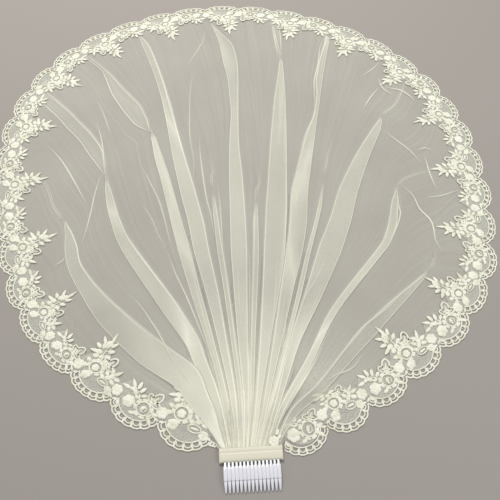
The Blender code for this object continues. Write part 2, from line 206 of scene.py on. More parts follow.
def addRange(tree, source, start, end):
    # a linear change from one range to another
    node = addNode(tree, "ShaderNodeMapRange")
    for name, value in zip(("From Min", "From Max", "To Min", "To Max"), (*start, *end)):
        node.inputs[name].default_value = value
    link(tree, source, node.inputs["Value"])
    return node.outputs["Result"]


def addMapping(tree, source, scale):
    mapping = addNode(tree, "ShaderNodeMapping", Scale=scale)
    link(tree, source, mapping.inputs["Vector"])
    return mapping.outputs["Vector"]


def addTexture(tree, kind, source, **settings):
    # a texture that reads the given coordinates
    texture = addNode(tree, "ShaderNodeTex" + kind, **settings)
    link(tree, source, texture.inputs["Vector"])
    return texture.outputs


def addShades(tree, shader, tone, shades, places=(0.0, 1.0)):
    # the colour goes from one shade to the other with the tone
    ramp = addNode(tree, "ShaderNodeValToRGB")
    for element, colour, place in zip(ramp.color_ramp.elements, shades, places):
        element.color = (*colour, 1)
        element.position = place
    link(tree, tone, ramp.inputs["Fac"])
    link(tree, ramp.outputs["Color"], shader.inputs["Base Color"])


def addBump(tree, shader, height, strength, distance):
    bump = addNode(tree, "ShaderNodeBump", Strength=strength, Distance=distance)
    link(tree, height, bump.inputs["Height"])
    link(tree, bump.outputs["Normal"], shader.inputs["Normal"])


def makeStage():
    bpy.ops.object.select_all(action="DESELECT")
    bpy.ops.mesh.primitive_plane_add(size=9, location=(0, 0.4, -0.0003))
    floor = bpy.context.object
    floor.name = "floor"
    floor.data.materials.append(newMaterial("plain_floor", studio["floorColour"], 0.8)[0])
    for name, place, aim, size, watts, colour in studio["lamps"]:
        bpy.ops.object.light_add(type="AREA", location=place)
        lamp = bpy.context.object
        lamp.name = name
        lamp.data.shape = "DISK"
        lamp.data.size = size
        lamp.data.energy = watts
        lamp.data.color = colour
        lamp.rotation_euler = (Vector(aim) - Vector(place)).to_track_quat("-Z", "Y").to_euler()
    world = bpy.data.worlds.new("studio")
    world.use_nodes = True
    background = world.node_tree.nodes["Background"].inputs
    background["Color"].default_value = (*studio["sky"], 1)
    background["Strength"].default_value = studio["skyStrength"]
    bpy.context.scene.world = world
    bpy.context.scene.view_settings.view_transform = "Standard"


makeStage()
print("stage and light set")

# The veil's border: the line through the valleys between its scallops.
border = {
    "stations": [
        (47.5, 25), (181, 89), (306, 184), (402, 308), (438, 498), (418, 705), (315, 884),
        (154, 996), (-43, 1040), (-235, 1005), (-404, 896), (-493, 728), (-497, 525),
        (-438, 336), (-350, 182), (-200, 78), (-53, 23),
    ],
    "scallops": 38,
    "sag": 24.0,                 # a scallop stands out this far
    "tulleInset": 10.0,          # the tulle ends this far inside the valleys
    # how far short of an even spacing each valley lies
    "valleysShort": [
        0, 7, 11, 11, 9, 7, 7, 8, 10, 13, 15, 18, 22, 24, 24, 24, 24, 24, 22, 19, 17, 16, 16, 14, 12,
        11, 10, 8, 8, 8, 8, 10, 15, 20, 25, 27, 25, 19, 12,
    ],
    # how far the gathered cloth draws each scallop in
    "drawnIn": [
        0, 1, 5, 6, 5, 9, 5, 7, 6.5, 8.5, 9, 9, 8, 11, 12, 12, 12, 12, 12, 12, 12, 12, 12, 12, 9.5, 9,
        9.5, 8.5, 8, 8, 8, 8, 8, 12, 11.5, 8, 3, 0,
    ],
    "drawnReach": 40.0,          # deeper than this nothing is drawn in
    "netBeside": (12, 1.7),      # the net's depth beside the casing, and how much more for each mm from it
    # the lace's height on the table, its rise onto the tulle's edge, and where that starts and how long it is
    "laceRise": (0.1, 1.2, 7.2, 2.6),
}
borderLine = curveThrough(border["stations"], 24)
borderAt = lengthsAlong(borderLine)
borderLength = borderAt[-1]
borderInward = leftOf(unit(np.gradient(borderLine, borderAt, axis=0)))
pitch = borderLength / border["scallops"]
arcRadius = ((pitch / 2) ** 2 + border["sag"] ** 2) / (2 * border["sag"])
arcDepth = arcRadius - border["sag"]      # the scallop's centre lies this far inside the valleys
valleys = np.arange(border["scallops"] + 1) * pitch - border["valleysShort"]


def alongBorder(scallops):
    # arc length at a place counted in scallops
    return np.interp(scallops, np.arange(len(valleys)), valleys)


def scallopAt(s):
    return np.interp(s, valleys, np.arange(len(valleys)))


def drawnIn(scallops, depth):
    # the depth after the cloth has drawn its scallop in, most at the scallop's middle
    whole = np.clip(np.floor(scallops), 0, border["scallops"] - 1)
    across = 2 * (scallops - whole) - 1
    reach = border["drawnReach"]
    share = np.clip(1 - across ** 2, 0, 1) * np.clip((reach - depth) / (reach + 5), 0, 1)
    return depth + np.take(border["drawnIn"], whole.astype(int)) * share


def borderPlan(s, depth):
    # plan points at arc length s along the border and depth inside it
    s, depth = np.broadcast_arrays(np.asarray(s, float), np.asarray(depth, float))
    at = [np.interp(s, borderAt, borderLine[:, k]) for k in (0, 1)]
    inward = [np.interp(s, borderAt, borderInward[:, k]) for k in (0, 1)]
    size = np.hypot(*inward)
    return np.stack([at[k] + inward[k] / size * depth for k in (0, 1)], axis=-1)


def borderPlace(points):
    # arc length and depth of plan points
    points = np.asarray(points, float).reshape(-1, 2)
    s, depth = np.zeros(len(points)), np.zeros(len(points))
    for first in range(0, len(points), 4000):
        some = points[first:first + 4000]
        gap = some[:, None, :] - borderLine[None]
        nearest = (gap ** 2).sum(axis=2).argmin(axis=1)
        rows = np.arange(len(some))
        s[first:first + 4000] = borderAt[nearest]
        depth[first:first + 4000] = (gap[rows, nearest] * borderInward[nearest]).sum(axis=1)
    return s, depth


def fromCasing(s):
    return np.minimum(s, borderLength - s)


# Inner edge of the lace's net over one repeat of two scallops: (share of the repeat, depth).
laceEdge = [
    (0.00, 30), (0.05, 38), (0.09, 46), (0.14, 37), (0.24, 31), (0.34, 36), (0.43, 42), (0.49, 34),
    (0.56, 50), (0.61, 70), (0.65, 86), (0.69, 68), (0.74, 50), (0.80, 54), (0.86, 42), (0.93, 36),
    (1.00, 30),
]


def laceDepth(s):
    share = (scallopAt(s) / 2) % 1.0
    deep = np.interp(share, [e[0] for e in laceEdge], [e[1] for e in laceEdge])
    beside, more = border["netBeside"]
    return np.minimum(deep, beside + more * fromCasing(s))


def laceLift(depth):
    # the lace lies on the tulle's edge, and on the table outside it
    low, rise, start, run = border["laceRise"]
    return low + rise * smooth((depth - start) / run)


# Tulle: one panel of soft net, gathered into the casing and folded over along tapering tucks.
tulle = {
    "mouth": 10.3,               # the casing's open back edge, from its centre
    "grip": 8.0,                 # held inside the casing
    "rows": 84,
    "rowSpread": 1.3,            # above 1, the rows are closer near the casing
    "base": 0.35,                # the lowest layer over the table
    "layerGap": 0.42,
    "skirt": 5.0,                # a fold's top layer drops to the flat cloth over this run
    "foldedEdge": 2.0,           # width of the bright folded edge
    "footWidth": 3.0,            # a fold's width where it leaves the casing
    "narrowest": 0.6,
    "hemOpens": 9.0,             # a fold has opened this far at the hem
    "hemTurn": 0.86,             # from this share of its length on, it turns square to the hem
    # how wide an opened fold's crease is, for widths below nought
    "creaseWidths": ([0, 5, 12, 60], [0.6, 1.3, 12, 60]),
    "gapColumn": 10.0,           # widest spacing of the flat cloth's lines at the hem
    "mouthHeight": (2.6, 5.1),   # the gathers fill the casing between these heights
    "gatherReach": 120.0,        # the gathers lie raised this far from the casing
    "pleat": 1.0,                # height of the pleats beside it, and how far they run
    "pleatReach": 260.0,
    "wave": 1.1,                 # soft troughs and ridges of the flat cloth
    "sideEnds": 45.2,            # the panel's side edges enter the casing this far from its middle
    "sideReach": (3.2, 32.0),    # and end at these scallops, right and left
    "sheerRun": 70,              # a fold turns sheer over this run
    # a fold that is sheer all along starts this far on, and is half as sheer past here, over this run
    "sheerAlong": (25, 280, 120),
    "gatheredLook": 330,         # the cloth looks denser this far from the casing
    "overLace": 2.3,             # the outermost folds pass over the lace beside the casing
    "thinOver": (0.8, 40, 45),   # there they turn this much thinner, from this far out, over this run
}
clothMarks = ("foldedEdge", "gathered", "foldedLayer", "doubled", "sheerBand")
tulleShares = (np.arange(tulle["rows"] + 1) / tulle["rows"]) ** tulle["rowSpread"]

# Folds from left to right: the scallop where each meets the hem, where it leaves the casing, and its middle
# line as (x, y, width). A fold below nought wide has opened, and opens is how far at the hem. Mirrored folds
# have their layers the other way round, folds over the lace pass above it, and a fold turns sheer from
# sheerFrom on, or all along it by sheerAll.
folds = [
    dict(edge=28.7, foot=-41, over=True, line=[
        (-68, 66, 22), (-89, 97, 34), (-110, 128, 43), (-172, 170, 47), (-243, 230, 40), (-287, 280, 28),
        (-318, 324, 22), (-331, 362, 22), (-340, 390, 13), (-350, 412, 4), (-364, 430, -3),
        (-381, 453, -3), (-396, 485, -3), (-418, 516, -2)], opens=0, sheerAll=1.7),
    dict(edge=26.0, foot=-34, line=[
        (-58, 92, 11), (-86, 152, 19), (-102, 188, 22), (-140, 243, 27), (-228, 362, 21),
        (-257, 418, 17), (-271, 455, 16), (-284, 497, 9), (-295, 532, -4), (-322, 589, -28),
        (-351, 630, -27), (-376, 657, -28), (-412, 697, -26)], opens=29),
    dict(edge=24.1, foot=-27, line=[
        (-44, 92, 8), (-72, 190, 11), (-100, 275, 16), (-127, 362, 21), (-145, 420, 19),
        (-172, 512, 17), (-193, 575, 15), (-209, 628, 8), (-220, 647, -5), (-237, 668, -27),
        (-262, 708, -37), (-296, 754, -29), (-340, 824, -7)]),
    dict(edge=22.3, foot=-20, line=[
        (-31, 92, 8), (-52, 190, 13), (-72, 275, 20), (-96, 362, 26), (-109, 420, 27),
        (-130, 494, 27), (-154, 580, 22), (-173, 655, 17), (-195, 738, 13), (-220, 817, 13),
        (-254, 905, 14)], sheerFrom=720),
    dict(edge=21.2, foot=-14, line=[
        (-20, 92, 5), (-34, 190, 6), (-47, 275, 8), (-62, 362, 9), (-74, 440, 7), (-86, 520, -3),
        (-95, 590, 0)], opens=0),
    dict(edge=20.1, foot=-8, line=[
        (-11, 92, 7), (-18, 190, 15), (-23, 275, 22), (-28, 362, 28), (-31, 421, 28), (-38, 534, 25),
        (-43, 616, 18), (-44, 700, 14), (-47, 749, 18), (-50, 798, 22), (-57, 849, 31), (-68, 905, 30),
        (-86, 945, 13)], sheerFrom=690),
    dict(edge=19.0, foot=-2, mirror=True, line=[
        (-1, 92, 4), (0, 190, 6), (2, 275, 8), (4, 362, 9), (4, 430, 6), (6, 500, -3),
        (8, 570, 0)], opens=0),
    dict(edge=17.9, foot=4, mirror=True, line=[
        (9, 92, 7), (20, 190, 16), (29, 275, 27), (37, 362, 37), (42, 458, 39), (46, 555, 35),
        (50, 658, 30), (54, 751, 22), (58, 858, 5), (56, 895, -7),
        (52, 940, -12)], opens=14),
    dict(edge=16.4, foot=11, mirror=True, line=[
        (21, 92, 6), (40, 190, 13), (56, 275, 20), (73, 362, 28), (82, 423, 31), (87, 490, 31),
        (99, 558, 25), (114, 635, 18), (127, 690, 7), (137, 752, 7), (141, 800, 13), (153, 869, 12),
        (168, 940, 7)], sheerFrom=730),
    dict(edge=15.0, foot=17, mirror=True, line=[
        (31, 92, 4), (56, 190, 5), (78, 275, 7), (99, 362, 7), (124, 460, 6), (142, 560, -3),
        (158, 630, 0)], opens=0),
    dict(edge=13.5, foot=23, mirror=True, line=[
        (40, 92, 7), (69, 190, 15), (103, 275, 28), (137, 365, 40), (162, 433, 38), (182, 500, 35),
        (217, 585, 26), (254, 660, 15), (272, 700, -3), (300, 728, -4),
        (322, 775, -3), (333, 812, 0)], opens=0),
    dict(edge=10.9, foot=30, mirror=True, line=[
        (48, 84, 7), (92, 160, 10), (140, 250, 11), (230, 367, 12), (247, 397, 13), (259, 430, 15),
        (269, 476, 12), (279, 513, -3), (300, 532, -4), (332, 546, -2), (372, 566, 0)], opens=0),
    dict(edge=6.6, foot=39, mirror=True, over=True, line=[
        (64, 74, 12), (106, 112, 15), (150, 162, 19), (196, 212, 22), (246, 262, 16), (292, 306, 7),
        (318, 334, -3), (336, 360, 0)], opens=0, sheerAll=1.3),
]


# Fine creases, each with its strength and the plan points that it runs through.
creases = [
    (0.9, [(-426, 605), (-407, 589), (-379, 556), (-349, 510), (-315, 454)]),
    (0.8, [(-298, 533), (-303, 513), (-306, 482), (-307, 442), (-309, 406), (-312, 370)]),
    (0.8, [(-330, 666), (-311, 612), (-295, 538)]),
    (0.6, [(-342, 735), (-325, 703), (-306, 658), (-293, 623)]),
    (0.6, [(-139, 822), (-141, 748), (-134, 634), (-122, 570), (-120, 513)]),
    (0.7, [(-115, 634), (-108, 571), (-93, 482), (-82, 439), (-72, 384)]),
    (0.6, [(-73, 514), (-65, 457), (-56, 363)]),
    (0.7, [(-230, 561), (-203, 512), (-177, 456), (-148, 362)]),
    (0.5, [(-218, 467), (-193, 430), (-175, 391), (-159, 361)]),
    (0.6, [(-122, 964), (-121, 929), (-140, 874), (-156, 834)]),
    (0.8, [(36, 1003), (45, 922), (51, 871)]),
    (0.8, [(159, 941), (148, 906), (140, 846), (129, 792), (127, 711)]),
    (0.8, [(267, 654), (293, 624), (312, 603), (333, 567)]),
    (0.7, [(271, 779), (250, 751), (229, 713)]),
    (0.7, [(284, 865), (259, 835), (232, 812)]),
    (0.8, [(272, 813), (277, 779), (300, 755)]),
    (1.0, [(284, 779), (301, 776), (318, 770), (333, 756), (344, 738)]),
    (0.9, [(275, 500), (273, 469), (274, 444), (260, 408), (240, 367)]),
    (1.0, [(285, 514), (304, 488), (312, 458), (329, 433), (332, 409), (332, 387), (341, 364)]),
    (0.9, [(341, 591), (345, 540), (353, 501)]),
    (0.7, [(328, 601), (346, 609), (359, 601)]),
    (0.6, [(327, 484), (358, 489), (396, 504)]),
    (0.6, [(-355, 326), (-342, 334), (-337, 346)]),
    (0.7, [(-213, 271), (-190, 247), (-174, 225), (-155, 198), (-132, 159), (-100, 115)]),
    (0.8, [(-159, 361), (-137, 311), (-113, 263), (-89, 208), (-67, 157)]),
    (0.6, [(-80, 199), (-65, 157), (-49, 108)]),
    (0.7, [(274, 297), (223, 248), (181, 215), (141, 166), (101, 114)]),
    (0.6, [(178, 170), (159, 146), (130, 133), (109, 119)]),
    (0.6, [(137, 366), (113, 314), (86, 265), (73, 219)]),
    (0.6, [(130, 314), (111, 275), (92, 232), (77, 193)]),
    (0.6, [(43, 364), (36, 265), (27, 175)]),
    (0.6, [(59, 265), (52, 210), (43, 158)]),
    (0.5, [(-8, 364), (-7, 264), (-7, 174)]),
    (0.5, [(-33, 363), (-25, 264), (-19, 174)]),
]
crease = {
    "width": 5.0, "height": 0.75, "step": 9.0,
    "reach": 7.0,                # it lies on the highest cloth within this reach
    "lift": 0.15,
    "bright": 1.75,              # how much brighter the ridge is than its sides
    "sides": -0.4,               # the sides are sheerer than the cloth
}


def mouthPlan(x, back=0.0):
    # a point x along the casing's back edge, and back inside it
    return np.array(casingPlan(x, tulle["mouth"] - back))


def foldColumns(fold, shares):
    # the lines of one fold, left to right
    hemS = alongBorder(fold["edge"])
    hem = borderPlan(hemS, border["tulleInset"])
    opens = fold.get("opens", tulle["hemOpens"])
    stations = [(*mouthPlan(fold["foot"]), tulle["footWidth"]), *fold["line"], (*hem, -opens)]
    steps = 12
    line = curveThrough([p[:2] for p in stations], steps)
    at = lengthsAlong(line)
    here = shares * at[-1]
    middle = pointsAt(here, at, line)
    width = np.interp(here, at[::steps], [p[2] for p in stations])
    # past its apex a fold goes on as a narrow crease, or as a wide one of two layers
    shown = np.clip(-width / 3, 0, 1)
    creaseWidth = np.interp(-width, *tulle["creaseWidths"])
    width = np.where(width > 0, np.maximum(width, tulle["narrowest"]), -creaseWidth)
    right = -leftOf(pointsAt(here, at, np.gradient(line, at, axis=0)))
    hemRight = borderPlan(hemS - 1, border["tulleInset"]) - borderPlan(hemS + 1, border["tulleInset"])
    turn = smooth((shares - tulle["hemTurn"]) / (1 - tulle["hemTurn"]))[:, None]
    right = unit(unit(right) * (1 - turn) + hemRight / 2 * turn)
    half = width / 2
    skirt, edge = tulle["skirt"], tulle["foldedEdge"]
    start, end = -np.abs(half) - skirt, np.abs(half) + skirt
    outer = half - start                       # from the start line to the right turn
    near = np.minimum(0.4, 0.94 * skirt / outer)
    rim = np.minimum(0.26, 0.65 * edge / outer)
    inner = np.minimum(0.25, edge / np.abs(width))
    nought, one = np.zeros_like(half), np.ones_like(half)
    folded = smooth((width - 1.5) / 6)
    sheer = smooth((middle[:, 1] - fold.get("sheerFrom", math.inf)) / tulle["sheerRun"])
    sheerStart, fades, fadeRun = tulle["sheerAlong"]
    sheer = sheer + (fold.get("sheerAll", 0) * smooth((here - sheerStart) / tulle["sheerRun"])
                     * (1 - 0.5 * smooth((here - fades) / fadeRun)))
    # the covered edge shows through the layer above it
    flap = [(nought, 0), (near - rim, 0), (near, 0.65), (near + rim, 0), ((near + 1) / 2, 0), (1 - rim, 0)]
    mirror = fold.get("mirror", False)
    columns = []
    for f, seen in flap:
        top = 2 * np.minimum(1, f / near) if mirror else 0 * half
        columns.append((start + (half - start) * f, top, seen if mirror else 0))
    levels = [1.5, 1, 1, 1, 0.5] if mirror else [0.5, 1, 1, 1, 1.5]
    for f, level in zip([nought, inner, one / 2, 1 - inner, one], levels):
        columns.append((half - 2 * half * f, level + 0 * half, 1 if level % 1 else 0))
    for f, seen in flap[::-1]:
        top = 0 * half if mirror else 2 * np.minimum(1, f / near)
        columns.append((-half + (end + half) * (1 - f), top, 0 if mirror else seen))
    ridges = {6: 0.3, 7: 0.6, 8: 1.0, 9: 0.6, 10: 0.3}
    made = []
    for i, (offset, level, turned) in enumerate(columns):
        made.append({
            "plan": middle + right * offset[:, None],
            "level": level * folded,
            "foldedEdge": turned * np.maximum(shown * 0.9, smooth(width / 3)) * smooth((1.02 - shares) / 0.1),
            "ridge": ridges.get(i, 0.0) * (1 - folded) * smooth((0.97 - shares) / 0.25),
            "over": fold.get("over") and 0 < i < len(columns) - 1,
            "doubled": (1 - folded) * smooth((-width - 5) / 8) * (6 <= i <= 10),
            "sheerBand": sheer * (2 < i < 14),
            "turned": i in (6, 10),
        })
    return made


def flatColumns(left, right, leftS, rightS, count):
    # lines of flat cloth between two lines, following the hem's curve
    made = []
    for i in range(1, count + 1):
        f = i / (count + 1)
        straight = left["plan"] * (1 - f) + right["plan"] * f
        hem = borderPlan(leftS + (rightS - leftS) * f, border["tulleInset"])
        bend = (hem - straight[-1])[None] * (tulleShares ** 3)[:, None]
        made.append({"plan": straight + bend, "crest": i % 2})
    return made


def sideColumn(mouthX, startS, endS):
    plan = borderPlan(startS + (endS - startS) * tulleShares, border["tulleInset"])
    into = smooth(tulleShares / 0.1)[:, None]
    return {"plan": mouthPlan(mouthX)[None] * (1 - into) + plan * into}


def tulleColumns():
    rightS, leftS = (alongBorder(reach) for reach in tulle["sideReach"])
    columns = [sideColumn(-tulle["sideEnds"], borderLength, leftS)]
    lastS = leftS
    for fold in folds:
        made = foldColumns(fold, tulleShares)
        reach = max(fold.get("opens", 0), tulle["hemOpens"]) / 2 + tulle["skirt"]
        startS, endS = alongBorder(fold["edge"]) + reach, alongBorder(fold["edge"]) - reach
        count = max(3, 2 * math.ceil((lastS - startS) / tulle["gapColumn"] / 2) + 1)
        columns += flatColumns(columns[-1], made[0], lastS, startS, count)
        columns += made
        lastS = endS
    last = sideColumn(tulle["sideEnds"], 0, rightS)
    count = 2 * math.ceil((lastS - rightS) / tulle["gapColumn"] / 2) + 1
    columns += flatColumns(columns[-1], last, lastS, rightS, count)
    return [*columns, last]


def tulleHeight(column, order, s, depth):
    out = np.linalg.norm(column["plan"] - mouthPlan(0), axis=1)
    free = smooth((depth - laceDepth(s)) / 30)
    low, high = tulle["mouthHeight"]
    height = tulle["base"] + column.get("level", 0) * (tulle["layerGap"] * (0.6 + 0.4 * free))
    height += column.get("ridge", 0) * 0.9 * free
    waves = np.sin(s / 23 + 1.3 * np.sin(s / 61)) * np.sin(tulleShares * 5 + s / 150)
    height += tulle["wave"] * (0.5 + 0.5 * waves) * free * smooth((out - 120) / 200)
    if column.get("crest"):
        height += tulle["pleat"] * smooth(1 - out / tulle["pleatReach"]) * smooth((depth - 20) / 20)
    if column.get("over"):
        height += tulle["overLace"] * smooth((200 - out) / 60) * smooth(out / 30)
    gather = smooth(1 - out / tulle["gatherReach"]) * smooth((depth - 6 - 0.8 * fromCasing(s)) / 18)
    gather = np.maximum(gather, smooth(1 - tulleShares / 0.02))
    # many small pleats, uneven in height, fill the casing's mouth
    phase = 0.5 + 0.3 * math.sin(order * 0.93) + 0.2 * math.sin(order * 2.37 + 1)
    mouth = low + (high - low) * phase
    return height * (1 - gather) + np.maximum(mouth, height) * gather


def gripped(values):
    # a line's values, with its first one again for its end inside the casing
    return np.concatenate([values[:1], values])


def makeTulle(material):
    columns = tulleColumns()
    grip = mouthPlan(0, tulle["grip"]) - mouthPlan(0)
    points, uv = [], []
    marks = {name: [] for name in clothMarks}
    nothing = np.zeros(len(tulleShares))
    thinner, thinFrom, thinRun = tulle["thinOver"]
    across, lastHem = 0.0, None
    for order, column in enumerate(columns):
        s, depth = borderPlace(column["plan"])
        height = tulleHeight(column, order, s, depth)
        plan = np.vstack([column["plan"][0] + grip, column["plan"]])
        points.append(np.column_stack([plan, gripped(height)]))
        if lastHem is not None:
            across += np.linalg.norm(plan[-1] - lastHem)
        lastHem = plan[-1]
        uv.append(np.column_stack([np.full(len(plan), across), lengthsAlong(plan)]) * 0.001)
        for name in ("foldedEdge", "doubled", "sheerBand"):
            marks[name].append(gripped(column.get(name, nothing)))
        marks["foldedLayer"].append(gripped(np.clip(column.get("level", nothing), 0, 1)))
        # the outer sides stay sheer, so that the lace under them shows
        out = np.linalg.norm(plan - mouthPlan(0), axis=1)
        sheer = np.maximum(0.2 + 0.8 * smooth((gripped(depth) - 12) / 70), smooth(1.25 - out / 60))
        thin = 1 - thinner * smooth((out - thinFrom) / thinRun) if column.get("over") else 1
        marks["gathered"].append(smooth(1 - out / tulle["gatheredLook"]) ** 1.5 * sheer * thin)
    count = len(tulleShares) + 1
    piece = newPiece("tulle", toFrame(np.vstack(points)), gridFaces(len(columns), count), material,
                     uv=np.vstack(uv), values={name: np.concatenate(marks[name]) for name in clothMarks})
    creaseFoldedEdges(piece.data, [column.get("turned", False) for column in columns], count)
    return piece


def creaseFoldedEdges(mesh, turned, count):
    # a folded edge is sharp, so that each layer is lit as the flat cloth it is
    ends = np.zeros(2 * len(mesh.edges), np.int32)
    mesh.edges.foreach_get("vertices", ends)
    ends = ends.reshape(-1, 2) // count
    sharp = (ends[:, 0] == ends[:, 1]) & np.array(turned)[ends[:, 0]]
    layer = mesh.attributes.new("sharp_edge", "BOOLEAN", "EDGE")
    layer.data.foreach_set("value", sharp)


def tulleMaterial():
    material, tree, shader = newMaterial("soft_tulle", (0.86, 0.87, 0.78), 0.75, Sheen_Weight=0.1)
    place = addNode(tree, "ShaderNodeTexCoord").outputs
    marks = {}
    for name in clothMarks:
        marks[name] = addNode(tree, "ShaderNodeAttribute", attribute_name=name).outputs["Fac"]
    # fine pleat lines run from the casing to the hem, with a few sharp creases among them, which are denser
    # and carry a painted highlight along their crests
    lines = addMapping(tree, place["UV"], (95, 1.3, 1))
    streaks = addTexture(tree, "Noise", lines, Scale=1.0, Detail=4.0, Roughness=0.62)["Fac"]
    wisps = addRange(tree, streaks, (0.36, 0.68), (0.0, 1.0))
    sharpLines = addMapping(tree, place["UV"], (150, 0.9, 1))
    ridges = addTexture(tree, "Noise", sharpLines, Scale=1.0, Detail=3.0, Roughness=0.5)["Fac"]
    offMiddle = addMath(tree, "ABSOLUTE", addMath(tree, "SUBTRACT", ridges, 0.56), 0.0)
    litCreaseLines = addRange(tree, offMiddle, (0.0, 0.035), (1.0, 0.0))
    # net of fine threads
    net = addTexture(tree, "Voronoi", place["Object"], feature="DISTANCE_TO_EDGE", Scale=620.0)
    threads = addRange(tree, net["Distance"], (0.0, 0.25), (0.1, -0.05))
    cloud = addTexture(tree, "Noise", place["Object"], Scale=7.0, Detail=2.0)
    clouds = addRange(tree, cloud["Fac"], (0.3, 0.7), (-0.05, 0.06))
    # the cloth is denser in its folds, along their edges and in the gathers
    busy = addMath(tree, "ADD", marks["gathered"], addMath(tree, "MULTIPLY", marks["foldedLayer"], 0.35))
    pleats = addMath(tree, "MULTIPLY", wisps, addRange(tree, busy, (0.0, 0.5), (0.09, 0.34)))
    # the sharp crease lines make the net denser, and their lighter colour is a painted highlight along their
    # crests
    lit = addMath(tree, "MULTIPLY", litCreaseLines, addRange(tree, busy, (0.0, 0.5), (0.08, 0.42)))
    total = pleats
    for part in (threads, clouds, lit):
        total = addMath(tree, "ADD", total, part)
    for name, gain in zip(clothMarks, (0.6, 0.29, 0.06, 0.13, -0.1)):
        total = addMath(tree, "ADD", total, addMath(tree, "MULTIPLY", marks[name], gain))
    total = addMath(tree, "ADD", total, 0.18)
    total.node.use_clamp = True
    link(tree, total, shader.inputs["Alpha"])
    # greenish ivory net turns to cream where it is gathered thickly, and lighter along folded edges; the
    # sharp crease lines are painted lighter, as painted highlights
    tone = addMath(tree, "ADD", addMath(tree, "MULTIPLY", marks["gathered"], 0.85),
                   addMath(tree, "MULTIPLY", marks["foldedEdge"], 0.7))
    tone = addMath(tree, "ADD", tone, lit)
    addShades(tree, shader, tone, ((0.82, 0.81, 0.69), (0.95, 0.92, 0.76)))
    addBump(tree, shader, streaks, 0.5, 0.0006)
    return material


def makeCreases(tullePiece, material):
    # each crease is a low ridge of the cloth, lying on the panel and fading out at its sides and ends
    cloth = np.zeros(3 * len(tullePiece.data.vertices))
    tullePiece.data.vertices.foreach_get("co", cloth)
    cloth = cloth.reshape(-1, 3)
    points, faces, uv, edge, count = [], [], [], [], 0
    for number, (strength, line) in enumerate(creases):
        line = evenLine(curveThrough(line, 8), crease["step"])
        near = toFrame(np.column_stack([line, np.zeros(len(line))]))
        gap = np.linalg.norm(cloth[None, :, :2] - near[:, None, :2], axis=2)
        reach = crease["reach"] * 0.001
        height = np.array([cloth[g < reach, 2].max() if (g < reach).any() else cloth[g.argmin(), 2]
                           for g in gap]) * 1000
        height = np.convolve(np.pad(height, 2, mode="edge"), np.ones(5) / 5, mode="valid")
        side = -leftOf(unit(np.gradient(line, axis=0)))
        fade = np.sin(np.pi * np.linspace(0.02, 0.98, len(line))) ** 0.5
        n = len(line)
        for across in (-1, 0, 1):
            plan = line + side * across * crease["width"] / 2 * fade[:, None]
            rise = crease["height"] * strength * fade * (1 - abs(across)) + crease["lift"]
            points.append(np.column_stack([plan, height + rise]))
            sideways = np.full(n, number * 0.05 + across * 0.0017)
            uv.append(np.column_stack([sideways, lengthsAlong(line) * 0.001]))
            brightness = 0 if across else strength * fade * crease["bright"]
            edge.append(brightness + np.full(n, crease["sides"]))
        faces += gridFaces(3, n, first=count)
        count += 3 * n
    marks = {name: np.zeros(count) for name in clothMarks}
    marks["foldedEdge"] = np.concatenate(edge)
    return newPiece("tulle_creases", toFrame(np.vstack(points)), faces, material,
                    uv=np.vstack(uv), values=marks)


tulleFinish = tulleMaterial()
tullePiece = makeTulle(tulleFinish)
print("tulle made:", len(tullePiece.data.polygons), "faces")

# Lace edging: corded edge, embroidered motifs and a net ground. A motif's measures are millimetres along
# the border from its scallop's middle, and inside the line through the valleys.
cords = {
    "loops": 7,                  # open loops in one scallop
    "loopPitch": 12.0,
    "loopRadius": 36.2,
    "outer": dict(radius=42.9, wave=0.8, width=2.6, height=1.2),
    "arch": dict(low=33.0, high=39.4, half=5.5, width=2.2, height=1.0),
    "corner": dict(radius=38.6, length=6.6, width=2.7),
    "inner": dict(radius=32.2, width=2.2, height=1.15),
    "step": 2.6,                 # spacing of a cord's sections
    "lift": 0.12,                # over the net ground
}
motifLeaf = dict(height=0.85, sides=8, fuller=1.46, longer=1.24)
motifLoop = dict(cord=3.2, height=1.1, step=2.5, lift=0.1)
petalRing = dict(radius=11.0, petalsAt=13.6, petal=4.6, point=-0.25, lift=0.15)


def spinBy(turn):
    c, s = math.cos(math.radians(turn)), math.sin(math.radians(turn))
    return np.array([[c, s], [-s, c]])


def pointAt(x, y, reach, turn):
    return x + reach * math.cos(math.radians(turn)), y + reach * math.sin(math.radians(turn))


def newShape():
    return {"points": [], "faces": [], "uv": [], "parts": []}


def addPart(shape, points, faces, uv):
    first = sum(len(p) for p in shape["points"])
    shape["points"].append(np.asarray(points, float))
    shape["uv"].append(np.asarray(uv, float))
    shape["faces"].append([tuple(first + i for i in f) for f in faces])
    shape["parts"].append((first, first + len(points)))


def evenLine(line, step, closed=False):
    line = np.asarray(line, float)
    if closed:
        line = np.vstack([line, line[:1]])
    at = lengthsAlong(line)
    count = max(2, round(at[-1] / step))
    places = np.linspace(0, at[-1], count + 1)
    made = pointsAt(places, at, line)
    return made[:-1] if closed else made


def addCord(shape, line, width, height, closed=False, step=None, lift=0.0):
    # a low rounded cord, flat below
    step = step or cords["step"]
    line = evenLine(line, step, closed)
    n = len(line)
    if closed:
        ahead = np.roll(line, -1, axis=0) - np.roll(line, 1, axis=0)
    else:
        ahead = np.gradient(line, axis=0)
    side = leftOf(unit(ahead))
    section = ((1, 0), (0.76, 0.92), (-0.76, 0.92), (-1, 0))
    points, uv = [], []
    at = np.arange(n) * step
    for k, (across, up) in enumerate(section):
        points.append(np.column_stack([line + side * across * width / 2, np.full(n, lift + up * height)]))
        uv.append(np.column_stack([at, np.full(n, across * width / 2)]))
    faces = []
    for i in range(n if closed else n - 1):
        j = (i + 1) % n
        for k in range(4):
            m = (k + 1) % 4
            faces.append((k * n + i, m * n + i, m * n + j, k * n + j))
    if not closed:
        faces += [(3 * n, 2 * n, n, 0), (n - 1, 2 * n - 1, 3 * n - 1, 4 * n - 1)]
    addPart(shape, np.vstack(points), faces, np.vstack(uv))


